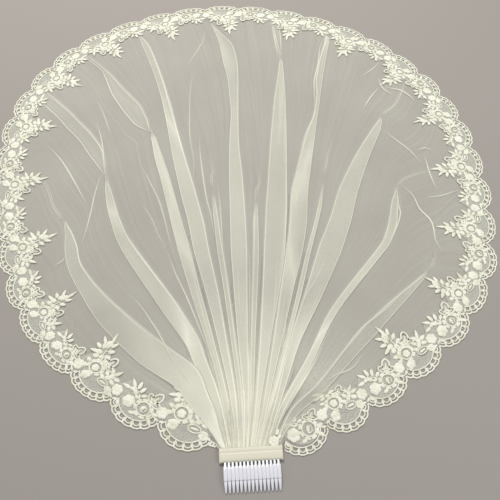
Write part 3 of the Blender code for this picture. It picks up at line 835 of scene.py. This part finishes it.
def addLeaf(shape, x, y, turn, length, width, point=0.0, height=None, lift=0.0):
    # a raised satin-stitched leaf or petal; point sharpens its far end
    n = motifLeaf["sides"]
    height = height or motifLeaf["height"]
    width, length = width * motifLeaf["fuller"], length * motifLeaf["longer"]
    a = np.arange(n) / n * math.tau
    ring = np.column_stack([np.cos(a) * length / 2, np.sin(a) * width / 2])
    ring[:, 1] *= 1 - point * smooth(ring[:, 0] / length + 0.5)
    spin = spinBy(turn)
    points, uv = [], []
    for share, up in ((1.0, 0.0), (0.92, 0.55), (0.5, 1.0)):
        points.append(np.column_stack([ring * share @ spin + (x, y), np.full(n, lift + up * height)]))
        uv.append(ring * share)
    points.append(np.array([[x, y, lift + height * 1.02]]))
    uv.append(np.zeros((1, 2)))
    faces = [tuple(range(n - 1, -1, -1))]
    for level in (0, 1):
        for i in range(n):
            j = (i + 1) % n
            faces.append((level * n + i, level * n + j, (level + 1) * n + j, (level + 1) * n + i))
    faces += [(2 * n + i, 2 * n + (i + 1) % n, 3 * n) for i in range(n)]
    addPart(shape, np.vstack(points), faces, np.vstack(uv))


def addFlower(shape, x, y, radius, petals=5, turn=0.0, lift=0.1):
    for k in range(petals):
        angle = turn + 360 * k / petals
        petal = pointAt(x, y, radius * 0.56, angle)
        addLeaf(shape, *petal, angle, radius * 0.98, radius * 4.9 / (petals + 1.6), -0.3, lift=lift)
    addLeaf(shape, x, y, turn, radius * 0.55, radius * 0.5, height=1.3, lift=lift)


def addLoop(shape, x, y, turn, length, width):
    # an open petal: a corded outline from its base, with a bar inside
    spin, lift = spinBy(turn), motifLoop["lift"]
    a = np.linspace(0, 1, 15)[:-1] * math.tau
    outline = np.column_stack([
        length / 2 * (1 - np.cos(a)), width / 2 * np.sin(a) * (1 - 0.12 * np.cos(a))])
    outline[:, 0] += 0.05 * length * np.exp(-((a - math.pi) / 0.35) ** 2)
    addCord(shape, outline @ spin + (x, y), motifLoop["cord"], motifLoop["height"], closed=True,
            step=motifLoop["step"], lift=lift)
    middle = np.array([length * 0.42, 0]) @ spin + (x, y)
    addLeaf(shape, *middle, turn, length * 0.5, width * 0.17, height=0.9, lift=lift)


def addPalmette(shape, x, y, turn, size):
    for aside, length, width in ((0, 1.14, 0.68), (64, 0.78, 0.5), (-64, 0.82, 0.5)):
        addLoop(shape, x, y, turn + aside, size * length, size * width)
    addLeaf(shape, x, y, turn, 6, 5.5, height=1.25, lift=0.15)


def ringPoints(x, y, radius, squash=1.0):
    a = np.arange(20) / 20 * math.tau
    return np.column_stack([x + radius * np.cos(a), y + radius * squash * np.sin(a)])


def addPetalRing(shape, x, y, cord, petals):
    # a corded ring with petals round it, each as (angle, width)
    ring = petalRing
    addCord(shape, ringPoints(x, y, ring["radius"]), cord, 1.0, closed=True, lift=ring["lift"])
    for angle, width in petals:
        petal = pointAt(x, y, ring["petalsAt"], angle)
        addLeaf(shape, *petal, angle, ring["petal"], width, ring["point"], lift=ring["lift"])


def addRose(shape, x, y):
    addPetalRing(shape, x, y, 3.0, [(45 * k + 12, 6.6) for k in range(8)])
    addLeaf(shape, x - 1.2, y + 0.4, 62, 8.8, 4.4, height=1.3, lift=0.1)
    arc = np.radians(np.linspace(-80, 70, 8))
    crescent = np.column_stack([x - 0.2 + 5.0 * np.cos(arc), y - 0.6 + 5.2 * np.sin(arc)])
    addCord(shape, crescent, 1.9, 1.15, step=2.2, lift=0.1)
    addLeaf(shape, x - 1.6, y - 5.0, -15, 5.0, 2.0, height=1.0, lift=0.1)


# Leaves of each motif: x, y, turn, length, width, point.
sprigLeaves = [
    (-22.5, 40.6, 134, 13.5, 5.6, 0.6), (-11.8, 41.2, 92, 11.5, 5.6, 0.3), (-3.6, 36.6, 62, 11, 5.6, 0.3),
    (-30.0, 30.5, 176, 12.0, 5.6, 0.5), (-19.5, 31.5, 205, 9.5, 5.4, 0.2), (3.0, 29.0, 30, 8.5, 5.0, 0.2),
    (-6.5, 24.0, 60, 8.0, 6.6, 0.0), (-13.2, 28.5, 140, 8.5, 5.6, 0.0), (29.5, 9.0, 15, 10.0, 5.4, 0.2),
    (26.0, -3.0, -42, 9.5, 5.2, 0.2), (-28.5, 1.5, -60, 7.5, 4.6, 0.2), (-2.5, -3.0, 12, 8.5, 4.6, 0.1),
]
sprayLeaves = [
    (-18.6, 83.6, 98, 18.0, 6.0, 0.7), (-31.5, 72.8, 142, 13.5, 5.6, 0.5), (-9.5, 74.0, 58, 11.5, 5.6, 0.3),
    (-33.6, 60.5, 168, 12.0, 5.6, 0.3), (-25.0, 64.0, 130, 9.5, 5.4, 0.1), (-7.0, 62.5, 32, 11.0, 5.8, 0.3),
    (-35.5, 49.6, 196, 12.5, 5.8, 0.5), (-25.5, 53.0, 172, 10.0, 5.6, 0.1), (-7.0, 52.0, 18, 10.5, 5.6, 0.2),
    (-25.8, 44.0, 200, 9.5, 5.6, 0.0), (-15.8, 46.2, 95, 9.5, 6.4, 0.0), (-6.0, 43.8, 40, 8.5, 5.2, 0.1),
    (27.0, 39.6, 52, 14.5, 6.0, 0.6), (17.5, 37.0, 100, 9.5, 5.4, 0.2), (29.5, 29.0, 8, 10.5, 5.6, 0.3),
    (10.5, 29.5, 128, 9.0, 5.2, 0.1), (20.0, 29.0, 60, 9.5, 6.0, 0.0), (25.0, 20.8, -20, 10.0, 5.6, 0.1),
    (15.0, 22.8, 40, 8.5, 5.6, 0.0), (6.0, 20.0, -30, 8.0, 5.4, 0.0), (-31.0, 22.5, 188, 8.5, 5.8, 0.0),
    (-30.5, 33.5, 160, 9.0, 5.6, 0.1),
]
# Petals of the second motif's ring: angle, width.
ringPetals = [
    (-96, 6.08), (-50, 6.08), (-8, 6.84), (30, 6.84), (68, 6.84), (106, 6.84), (144, 6.84), (184, 6.08),
]


def addStalks(shape, leaves, stems):
    # a short stalk joins each leaf to the nearest stem
    line = np.vstack([curveThrough(stem, 4) for stem in stems])
    for x, y, turn, length, *_ in leaves:
        base = np.array(pointAt(x, y, -length * 0.35, turn))
        gap = np.linalg.norm(line - base, axis=1)
        nearest = gap.argmin()
        if 1.5 < gap[nearest] < 16:
            addCord(shape, np.array([base, line[nearest]]), 2.0, 0.9, step=4.0, lift=0.1)


def scallopArc(radius, angle):
    # points round the scallop's centre
    return np.column_stack([radius * np.sin(angle), arcDepth - radius * np.cos(angle)])


def addEdge(shape):
    # the scallop's outer cord over a flat tape, its chain of open loops and the inner cord
    step = cords["loopPitch"] / cords["loopRadius"]
    outer = cords["outer"]
    spread = math.asin((pitch / 2 - 0.3) / (outer["radius"] + 0.4))
    a = np.linspace(-spread, spread, 61)
    radius = outer["radius"] + outer["wave"] * (np.abs(np.cos(a / step * math.pi)) * 2 - 1)
    addCord(shape, scallopArc(radius, a), outer["width"], outer["height"], step=2.2)
    inner = cords["inner"]
    spread = step * (cords["loops"] - 1) / 2 + 0.2
    a = np.linspace(-spread, spread, 40)
    addCord(shape, scallopArc(inner["radius"], a), inner["width"], inner["height"], step=3.2)
    arch, corner = cords["arch"], cords["corner"]
    for i in range(cords["loops"]):
        middle = (i - (cords["loops"] - 1) / 2) * step
        a = np.linspace(-1, 1, 17)
        angle = middle + a * arch["half"] / cords["loopRadius"]
        radius = arch["low"] + (arch["high"] - arch["low"]) * np.sqrt(1 - np.abs(a) ** 2.4)
        addCord(shape, scallopArc(radius, angle), arch["width"], arch["height"], step=2.6)
        # thread fills the corners between two loops
        for side in (-1, 1) if i == 0 else (1,):
            angle = middle + side * step / 2
            place = (corner["radius"] * math.sin(angle), arcDepth - corner["radius"] * math.cos(angle))
            turn = 90 + math.degrees(angle)
            addLeaf(shape, *place, turn, corner["length"], corner["width"], height=0.9)


def makeMotifs():
    # two scallops that take turns, each with the flower over its lower valley
    first, second = newShape(), newShape()
    for shape in (first, second):
        addEdge(shape)
        addFlower(shape, -pitch / 2, 17.5, 8.4, petals=6, turn=15, lift=0.15)
    addRose(first, 11, 10.5)
    addFlower(first, -15.0, 11.0, 9.4, petals=6, turn=5, lift=0.15)
    addPalmette(first, 18, 24.5, 55, 18.5)
    stems = [[(1, 19), (-4, 24), (-12, 31), (-18, 36)], [(-6, 26), (-16, 29), (-24, 30)]]
    for stem in stems:
        addCord(first, curveThrough(stem, 4), 2.3, 1.0, lift=0.1)
    addStalks(first, sprigLeaves[:8], stems)
    for leaf in sprigLeaves:
        addLeaf(first, *leaf, lift=0.1)
    addPetalRing(second, -12, 27, 2.9, ringPetals)
    addFlower(second, -12.4, 26.6, 6.2, turn=30, lift=0.15)
    addFlower(second, -19.0, 7.6, 7.6, turn=10)
    addFlower(second, 27.5, 6.0, 6.6, turn=50)
    addPalmette(second, 0.5, 39.5, 57, 18.0)
    addCord(second, ringPoints(12.5, 11.5, 9.6, squash=0.6), 2.3, 1.1, closed=True, lift=0.1)
    addLeaf(second, 12.5, 11.5, 0, 11.5, 3.0, height=0.9, lift=0.1)
    stems = [
        [(-14, 39), (-16, 50), (-17, 62), (-18, 76)],
        [(-17, 62), (-24, 67), (-30, 71)],
        [(-15, 44), (-24, 48), (-31, 50)],
        [(8, 18), (16, 25), (25, 36)],
    ]
    for stem in stems:
        addCord(second, curveThrough(stem, 4), 2.3, 1.0, lift=0.1)
    addStalks(second, sprayLeaves, stems)
    addFlower(second, -19.5, 71.0, 5.6, turn=20, lift=0.15)
    for leaf in sprayLeaves:
        addLeaf(second, *leaf, lift=0.1)
    return [first, second]


# The trim's two ends, beside the casing's corners.
trimEnds = {
    "start": 0.03,               # in scallops
    "besideCasing": (12, 1.75),  # the deepest lace beside the casing, and how much more for each mm from it
    # the first scallops: the depth from which the gathers draw them in, the share that is left of what is
    # deeper, and the deepest place where a leaf isn't covered
    "drawnSprays": [(20, 0.55, 34), (30, 0.62, 52)],
    "lower": (4.0, 60.0),        # the right end lies lower than the rest, over this depth
    "shift": (4.5, 1.5),         # and further towards the casing's corner
    "cornerFlower": dict(x=31.5, y=30.0, radius=7.4, petals=6, turn=20, lift=5.3),
    # x, y, turn, length, width, lift
    "cornerLeaves": [(39.5, 36.5, 40, 8.0, 4.0, 4.2), (37.0, 43.5, 70, 8.5, 4.2, 3.8)],
    "tailCords": [(-3.5, 2.4), (3.5, 2.2)],
    "tailLeaves": (1.5, 6.0, 10.5),
}


def onBorder(s, depth, rise):
    # points that lie on the net ground
    return np.column_stack([borderPlan(s, depth), laceLift(depth) + cords["lift"] + rise])


def layMotifs(motifs, scallops):
    # copies of the motifs along the border; what would reach under the casing is left out
    trim = newShape()
    first, last = trimEnds["start"], border["scallops"]
    for scallop in scallops:
        shape = motifs[scallop % 2]
        local = np.vstack(shape["points"])
        t = scallop + 0.5 + local[:, 0] / pitch
        past = (t < first) | (t > last)
        s = alongBorder(np.clip(t, first, last))
        depth = drawnIn(t, local[:, 1])
        deepest, lowered = np.inf, 0
        if scallop == 0:
            lower, reach = trimEnds["lower"]
            lowered = lower * smooth(1 - np.abs(depth) / reach)
        if scallop < len(trimEnds["drawnSprays"]):
            drawnFrom, left, deepest = trimEnds["drawnSprays"][scallop]
            depth = np.where(depth > drawnFrom, drawnFrom + (depth - drawnFrom) * left, depth)
        depth = depth - lowered
        beside, more = trimEnds["besideCasing"]
        covered = depth > np.minimum(beside + more * fromCasing(s), deepest)
        placed = onBorder(s, depth, local[:, 2])
        if scallop == 0:
            placed[:, :2] -= np.outer(np.clip(1 - t, 0, 1), trimEnds["shift"])
        for (start, end), partFaces, partUv in zip(shape["parts"], shape["faces"], shape["uv"]):
            if not covered[start:end].any() and past[start:end].mean() <= 0.3:
                addPart(trim, placed[start:end], [tuple(i - start for i in f) for f in partFaces], partUv)
    if scallops[0] == 0:
        # the flower of the trim's other end lies on the gathers, at the casing's right corner
        addFlower(trim, **trimEnds["cornerFlower"])
        for x, y, turn, length, width, lift in trimEnds["cornerLeaves"]:
            addLeaf(trim, x, y, turn, length, width, 0.2, lift=lift)
    if scallops[-1] == last - 1:
        # the trim's cut end, under the casing's left corner
        tail = newShape()
        for depth, width in trimEnds["tailCords"]:
            addCord(tail, [(valleys[-1] - 1, depth), (borderLength - 1, depth * 0.5)], width, 1.1, step=3.0)
        for at in trimEnds["tailLeaves"]:
            addLeaf(tail, valleys[-1] + at, 0, 70, 6.0, 2.2, lift=0.1)
        s, depth, rise = np.vstack(tail["points"]).T
        addPart(trim, onBorder(s, depth, rise), [f for part in tail["faces"] for f in part],
                np.vstack(tail["uv"]))
    faces = [f for part in trim["faces"] for f in part]
    return np.vstack(trim["points"]), faces, np.vstack(trim["uv"]) * 0.001


def laceMaterial():
    material, tree, shader = newMaterial("corded_lace", (0.9, 0.88, 0.72), 0.7, Sheen_Weight=0.2)
    place = addNode(tree, "ShaderNodeTexCoord").outputs
    tone = addTexture(tree, "Noise", place["Object"], Scale=60.0, Detail=2.0)["Fac"]
    addShades(tree, shader, tone, ((0.80, 0.775, 0.60), (0.93, 0.915, 0.77)), (0.3, 0.6))
    # satin stitches run across each leaf and cord
    stitch = addTexture(tree, "Wave", place["UV"], Scale=330.0, Distortion=1.2, Detail=1.0)["Fac"]
    addBump(tree, shader, stitch, 0.35, 0.0002)
    return material


netGround = {
    "columns": 1140, "rows": 9,
    "start": 6,                  # along the border
    "lift": 0.06,
    "narrowest": 2,
    "arcHalf": 29.5,             # further from a scallop's middle, its outer edge turns to the valley
    "valleyEdge": (7.2, 0.36),   # there it starts at this depth, and comes out by this slope
}


def netMaterial():
    material, tree, shader = newMaterial("lace_net", (0.74, 0.73, 0.63), 0.8)
    place = addNode(tree, "ShaderNodeTexCoord").outputs
    net = addTexture(tree, "Voronoi", place["Object"], feature="DISTANCE_TO_EDGE", Scale=420.0)
    link(tree, addRange(tree, net["Distance"], (0.0, 0.3), (0.72, 0.26)), shader.inputs["Alpha"])
    return material


def netOuterDepth(s):
    # the net ends under the inner cord of each scallop
    x = scallopAt(s) % 1.0 * pitch - pitch / 2
    radius = cords["inner"]["radius"]
    onArc = arcDepth - np.sqrt(np.maximum(radius ** 2 - x ** 2, 0))
    depth, slope = netGround["valleyEdge"]
    toValley = depth - slope * (np.abs(x) - netGround["arcHalf"])
    return drawnIn(scallopAt(s), np.where(np.abs(x) < netGround["arcHalf"], onArc, toValley))


def makeNet(material):
    s = np.linspace(netGround["start"], valleys[-1] - 1, netGround["columns"])
    outer = netOuterDepth(s)
    inner = np.maximum(laceDepth(s), outer + netGround["narrowest"])
    rows = netGround["rows"]
    points, uv = [], []
    for k in range(rows + 1):
        depth = outer + (inner - outer) * k / rows
        points.append(np.column_stack([borderPlan(s, depth), laceLift(depth) + netGround["lift"]]))
        uv.append(np.column_stack([s, depth]) * 0.001)
    return newPiece("lace_net", toFrame(np.vstack(points)), gridFaces(rows + 1, len(s), flip=True), material,
                    uv=np.vstack(uv))


motifs = makeMotifs()
laceFinish = laceMaterial()
netPiece = makeNet(netMaterial())
print("net ground made:", len(netPiece.data.polygons), "faces")
for name, scallops in (("lace_cords_right", range(0, 19)), ("lace_cords_left", range(19, 38))):
    points, faces, uv = layMotifs(motifs, scallops)
    newPiece(name, toFrame(points), faces, laceFinish, uv=uv)
    print(name, "made:", len(faces), "faces")

# Casing: a satin ribbon folded round the gathers and the comb's spine.
casing = {
    "length": 95.0, "width": 20.0, "wall": 0.45,
    "ends": 6.4, "middle": 7.4,  # its height
    "endFold": 4.0,              # the turned-in ends
    "stitchPitch": 5.586,        # the stitches between the tines pull its front edge in
    "puckers": [(47, 0, 0.16), (113, 1, 0.08)],
    # from the front edge's underside, over the top, to the back edge
    "section": [
        (-0.80, 0.02), (-0.93, 0.04), (-0.985, 0.16), (-1.0, 0.36), (-0.99, 0.58), (-0.955, 0.77),
        (-0.88, 0.885), (-0.7, 0.95), (-0.45, 0.985), (-0.15, 1.0), (0.08, 0.995), (0.2, 0.985),
        (0.26, 0.93), (0.30, 0.9), (0.34, 0.93), (0.42, 0.985), (0.55, 0.99), (0.7, 0.98),
        (0.86, 0.95), (1.0, 0.88), (0.985, 0.81), (0.9, 0.8),
    ],
}


def casingHeight(x):
    # at x, from -1 to 1 along the casing
    return casing["ends"] + (casing["middle"] - casing["ends"]) * (1 - x * x)


def makeCasing(material):
    half, wide, section = casing["length"] / 2, casing["width"] / 2, casing["section"]
    xs = np.concatenate([
        [-1.0, -0.996], np.linspace(-0.985, -0.93, 4), np.linspace(-0.915, 0.915, 132),
        np.linspace(0.93, 0.985, 4), [0.996, 1.0]])
    points, uv = [], []
    for x in xs:
        endFold = float(smooth((abs(x) * half - (half - casing["endFold"])) / 0.8))
        rounding = float(smooth((1 - abs(x)) / 0.014))
        pucker = sum(math.sin(x * waves + start) * size for waves, start, size in casing["puckers"])
        for k, (y, z) in enumerate(section):
            onEdge, onTop = y < -0.9, abs(y) < 0.8
            front = 0.5 * math.cos(x * half / casing["stitchPitch"] * math.tau) if onEdge and z > 0.1 else 0.0
            py = y * wide + (front * 0.35 - 0.8 * endFold) * onEdge + pucker * onTop * 0.4
            pz = z * (casingHeight(x) - 0.5) * (0.55 + 0.45 * rounding) + 0.32 * endFold * (z > 0.5)
            pz += pucker * 0.5 * onTop * (z > 0.5) + 0.12
            # behind the seam the ribbon is gathered with the net
            gathered = float(smooth((y - 0.24) / 0.3)) * (z > 0.85) * (1 - endFold)
            pz += gathered * 0.3 * (math.sin(x * half * 2.3 + math.sin(x * 31)) - 0.6)
            points.append((*casingPlan(x * half, py), pz))
            uv.append((x * half * 0.001, k * 0.002))
    faces = [f[::-1] for f in gridFaces(len(xs), len(section), flip=True)]
    piece = newPiece("satin_casing", toFrame(points), faces, material, uv=np.array(uv))
    bpy.ops.object.select_all(action="DESELECT")
    piece.select_set(True)
    bpy.context.view_layer.objects.active = piece
    shell = piece.modifiers.new("wall", "SOLIDIFY")
    shell.thickness = casing["wall"] * 0.001
    shell.offset = -1
    bpy.ops.object.modifier_apply(modifier=shell.name)
    return piece


def satinMaterial():
    material, tree, shader = newMaterial("ivory_satin", (0.78, 0.73, 0.58), 0.42, Sheen_Weight=0.25)
    place = addNode(tree, "ShaderNodeTexCoord").outputs
    grain = addMapping(tree, place["UV"], (300, 2600, 1))
    weave = addTexture(tree, "Noise", grain, Scale=1.0, Detail=2.0)["Fac"]
    addShades(tree, shader, weave, ((0.73, 0.68, 0.53), (0.83, 0.79, 0.65)))
    addBump(tree, shader, weave, 0.25, 0.0002)
    return material


casingPiece = makeCasing(satinMaterial())
print("casing made")

# Whip stitches hold the casing's front edge down between the tines.
whipStitch = {
    "count": 14, "steps": 9, "sides": 6, "radius": 0.42,
    "uneven": 0.4,               # in their places
    "front": 10.5,               # they start this far in front of the casing's middle line
    "runBack": 3.8,
    "lean": 0.5,
    "sunk": (0.4, 0.5),          # into the ribbon, and deeper at the end
}


def makeStitches(material):
    points, faces, uv, count = [], [], [], 0
    sides = whipStitch["sides"]
    turn = np.linspace(0, 1, whipStitch["steps"])
    ring = np.arange(sides) / sides * math.tau
    sunk, deeper = whipStitch["sunk"]
    across = (1.0, 0.0, 0.0)
    for i in range(-whipStitch["count"] // 2, whipStitch["count"] // 2):
        x = (i + 0.5) * casing["stitchPitch"] + whipStitch["uneven"] * math.sin(i * 2.1)
        height = casingHeight(x / (casing["length"] / 2)) - sunk
        up = 0.15 + (height + 0.35) * np.sin(np.minimum(turn * 1.35, 1) * math.pi / 2)
        back = whipStitch["front"] - whipStitch["runBack"] * smooth((turn - 0.45) / 0.55)
        line = np.column_stack([x + whipStitch["lean"] * turn, -back, np.where(turn > 0.95, up - deeper, up)])
        out = np.cross(across, unit(np.gradient(line, axis=0)))
        for k, centre in enumerate(line):
            circle = np.outer(np.cos(ring), across) + np.outer(np.sin(ring), out[k])
            for place, angle in zip(centre + circle * whipStitch["radius"], ring):
                points.append((*casingPlan(place[0], place[1]), max(place[2], 0.1)))
                uv.append((k * 0.001, angle * 0.0004))
        for k in range(len(line) - 1):
            for m in range(sides):
                a, b = count + k * sides + m, count + k * sides + (m + 1) % sides
                faces.append((a, b, b + sides, a + sides))
        faces.append(tuple(count + m for m in reversed(range(sides))))
        faces.append(tuple(count + (len(line) - 1) * sides + m for m in range(sides)))
        count += len(line) * sides
    return newPiece("casing_stitches", toFrame(points), faces, material, uv=np.array(uv))


makeStitches(laceFinish)
print("stitches made")

# Comb: a clear spine and fifteen tines, modelled once and copied.
comb = {
    "tines": 15, "pitch": 5.586,
    "centre": (-2.0, 12.0),
    "spine": (90.0, 7.0, 3.0), "spineAt": (0, -4.9, 2.9),
    "spineRound": 0.9, "tineRound": 0.5,
    # along the tine from the casing's front edge: place, width, thickness, height of its middle
    "stations": [
        (-5.0, 3.2, 2.4, 2.9), (0.0, 3.2, 2.4, 3.4), (5.4, 3.3, 2.3, 5.0), (6.8, 5.1, 2.3, 5.4),
        (7.8, 5.4, 2.3, 5.65), (14.0, 5.45, 2.3, 6.35), (22.0, 5.4, 2.3, 6.2), (25.4, 5.2, 2.2, 5.8),
        (26.0, 4.7, 1.3, 5.3), (27.4, 4.6, 1.3, 5.1), (28.2, 4.7, 1.9, 5.1), (33.5, 3.8, 1.8, 4.1),
        (38.6, 2.7, 1.7, 2.6), (41.0, 1.8, 1.3, 1.7), (42.0, 0.7, 0.6, 1.3),
    ],
}


def makeTine():
    # a ring at the root, extruded from station to station
    stations = comb["stations"]
    bpy.ops.object.select_all(action="DESELECT")
    bpy.ops.mesh.primitive_plane_add(size=1, location=(0, 0, 0), rotation=(math.pi / 2, 0, 0))
    tine = bpy.context.object
    bpy.ops.object.transform_apply(rotation=True)
    tine.scale = (stations[0][1], 1, stations[0][2])
    bpy.ops.object.transform_apply(scale=True)
    bpy.ops.object.mode_set(mode="EDIT")
    bpy.ops.mesh.select_all(action="SELECT")
    bpy.ops.mesh.bevel(affect="VERTICES", offset=comb["tineRound"], segments=3)
    bpy.ops.mesh.select_all(action="SELECT")
    for last, here in zip(stations, stations[1:]):
        move = (0, last[0] - here[0], here[3] - last[3])
        bpy.ops.mesh.extrude_region_move(TRANSFORM_OT_translate={"value": move})
        bpy.ops.transform.resize(value=(here[1] / last[1], 1, here[2] / last[2]))
    bpy.ops.mesh.select_all(action="SELECT")
    bpy.ops.mesh.normals_make_consistent(inside=False)
    bpy.ops.object.mode_set(mode="OBJECT")
    tine.name = "comb_tine"
    return tine


def makeComb(material):
    tine = makeTine()
    bpy.ops.object.select_all(action="DESELECT")
    bpy.ops.mesh.primitive_cube_add(size=1, location=(0, 0, 0))
    spine = bpy.context.object
    spine.scale = comb["spine"]
    bpy.ops.object.transform_apply(scale=True)
    bpy.ops.object.mode_set(mode="EDIT")
    bpy.ops.mesh.select_all(action="SELECT")
    bpy.ops.mesh.bevel(offset=comb["spineRound"], segments=3)
    bpy.ops.object.mode_set(mode="OBJECT")
    spine.location = comb["spineAt"]
    root = comb["stations"][0]
    copies = []
    for i in range(comb["tines"]):
        copy = tine.copy()
        copy.data = tine.data.copy()
        bpy.context.scene.collection.objects.link(copy)
        along = (i - (comb["tines"] - 1) / 2) * comb["pitch"]
        copy.location = (along, -casing["width"] / 2 - root[0], root[3])
        copies.append(copy)
    bpy.data.objects.remove(tine)
    bpy.ops.object.select_all(action="DESELECT")
    for copy in copies:
        copy.select_set(True)
    spine.select_set(True)
    bpy.context.view_layer.objects.active = spine
    bpy.ops.object.transform_apply(location=True)
    bpy.ops.object.join()
    spine.name = "clear_comb"
    spine.data.name = "clear_comb"
    spine.data.materials.clear()
    spine.data.materials.append(material)
    spine.scale = (0.001, 0.001, 0.001)
    spine.rotation_euler = (0, 0, tilt)
    x, y = comb["centre"]
    spine.location = (planOrigin.x + x * 0.001, planOrigin.y + y * 0.001, 0)
    bpy.ops.object.transform_apply(location=True, rotation=True, scale=True)
    bpy.ops.object.shade_smooth_by_angle(angle=math.radians(40))
    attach(spine, "root")
    return spine


def combMaterial():
    material, tree, shader = newMaterial(
        "clear_comb_plastic", (0.96, 0.95, 1.0), 0.16, Transmission_Weight=0.18, IOR=1.49)
    place = addNode(tree, "ShaderNodeTexCoord").outputs
    flow = addTexture(tree, "Noise", place["Object"], Scale=140.0, Detail=2.0)["Fac"]
    addBump(tree, shader, flow, 0.12, 0.0004)
    return material


combPiece = makeComb(combMaterial())
print("comb made")

creasePiece = makeCreases(tullePiece, tulleFinish)
print("creases laid")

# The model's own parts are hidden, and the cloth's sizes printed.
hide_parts("tulle_panel")
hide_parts("lace_right")
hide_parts("lace_left")
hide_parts("casing")
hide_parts("comb")


def meshArea(piece):
    return sum(polygon.area for polygon in piece.data.polygons)


print("tulle area", round(meshArea(tullePiece), 3), "net area", round(meshArea(netPiece), 4),
      "casing area", round(meshArea(casingPiece), 5))
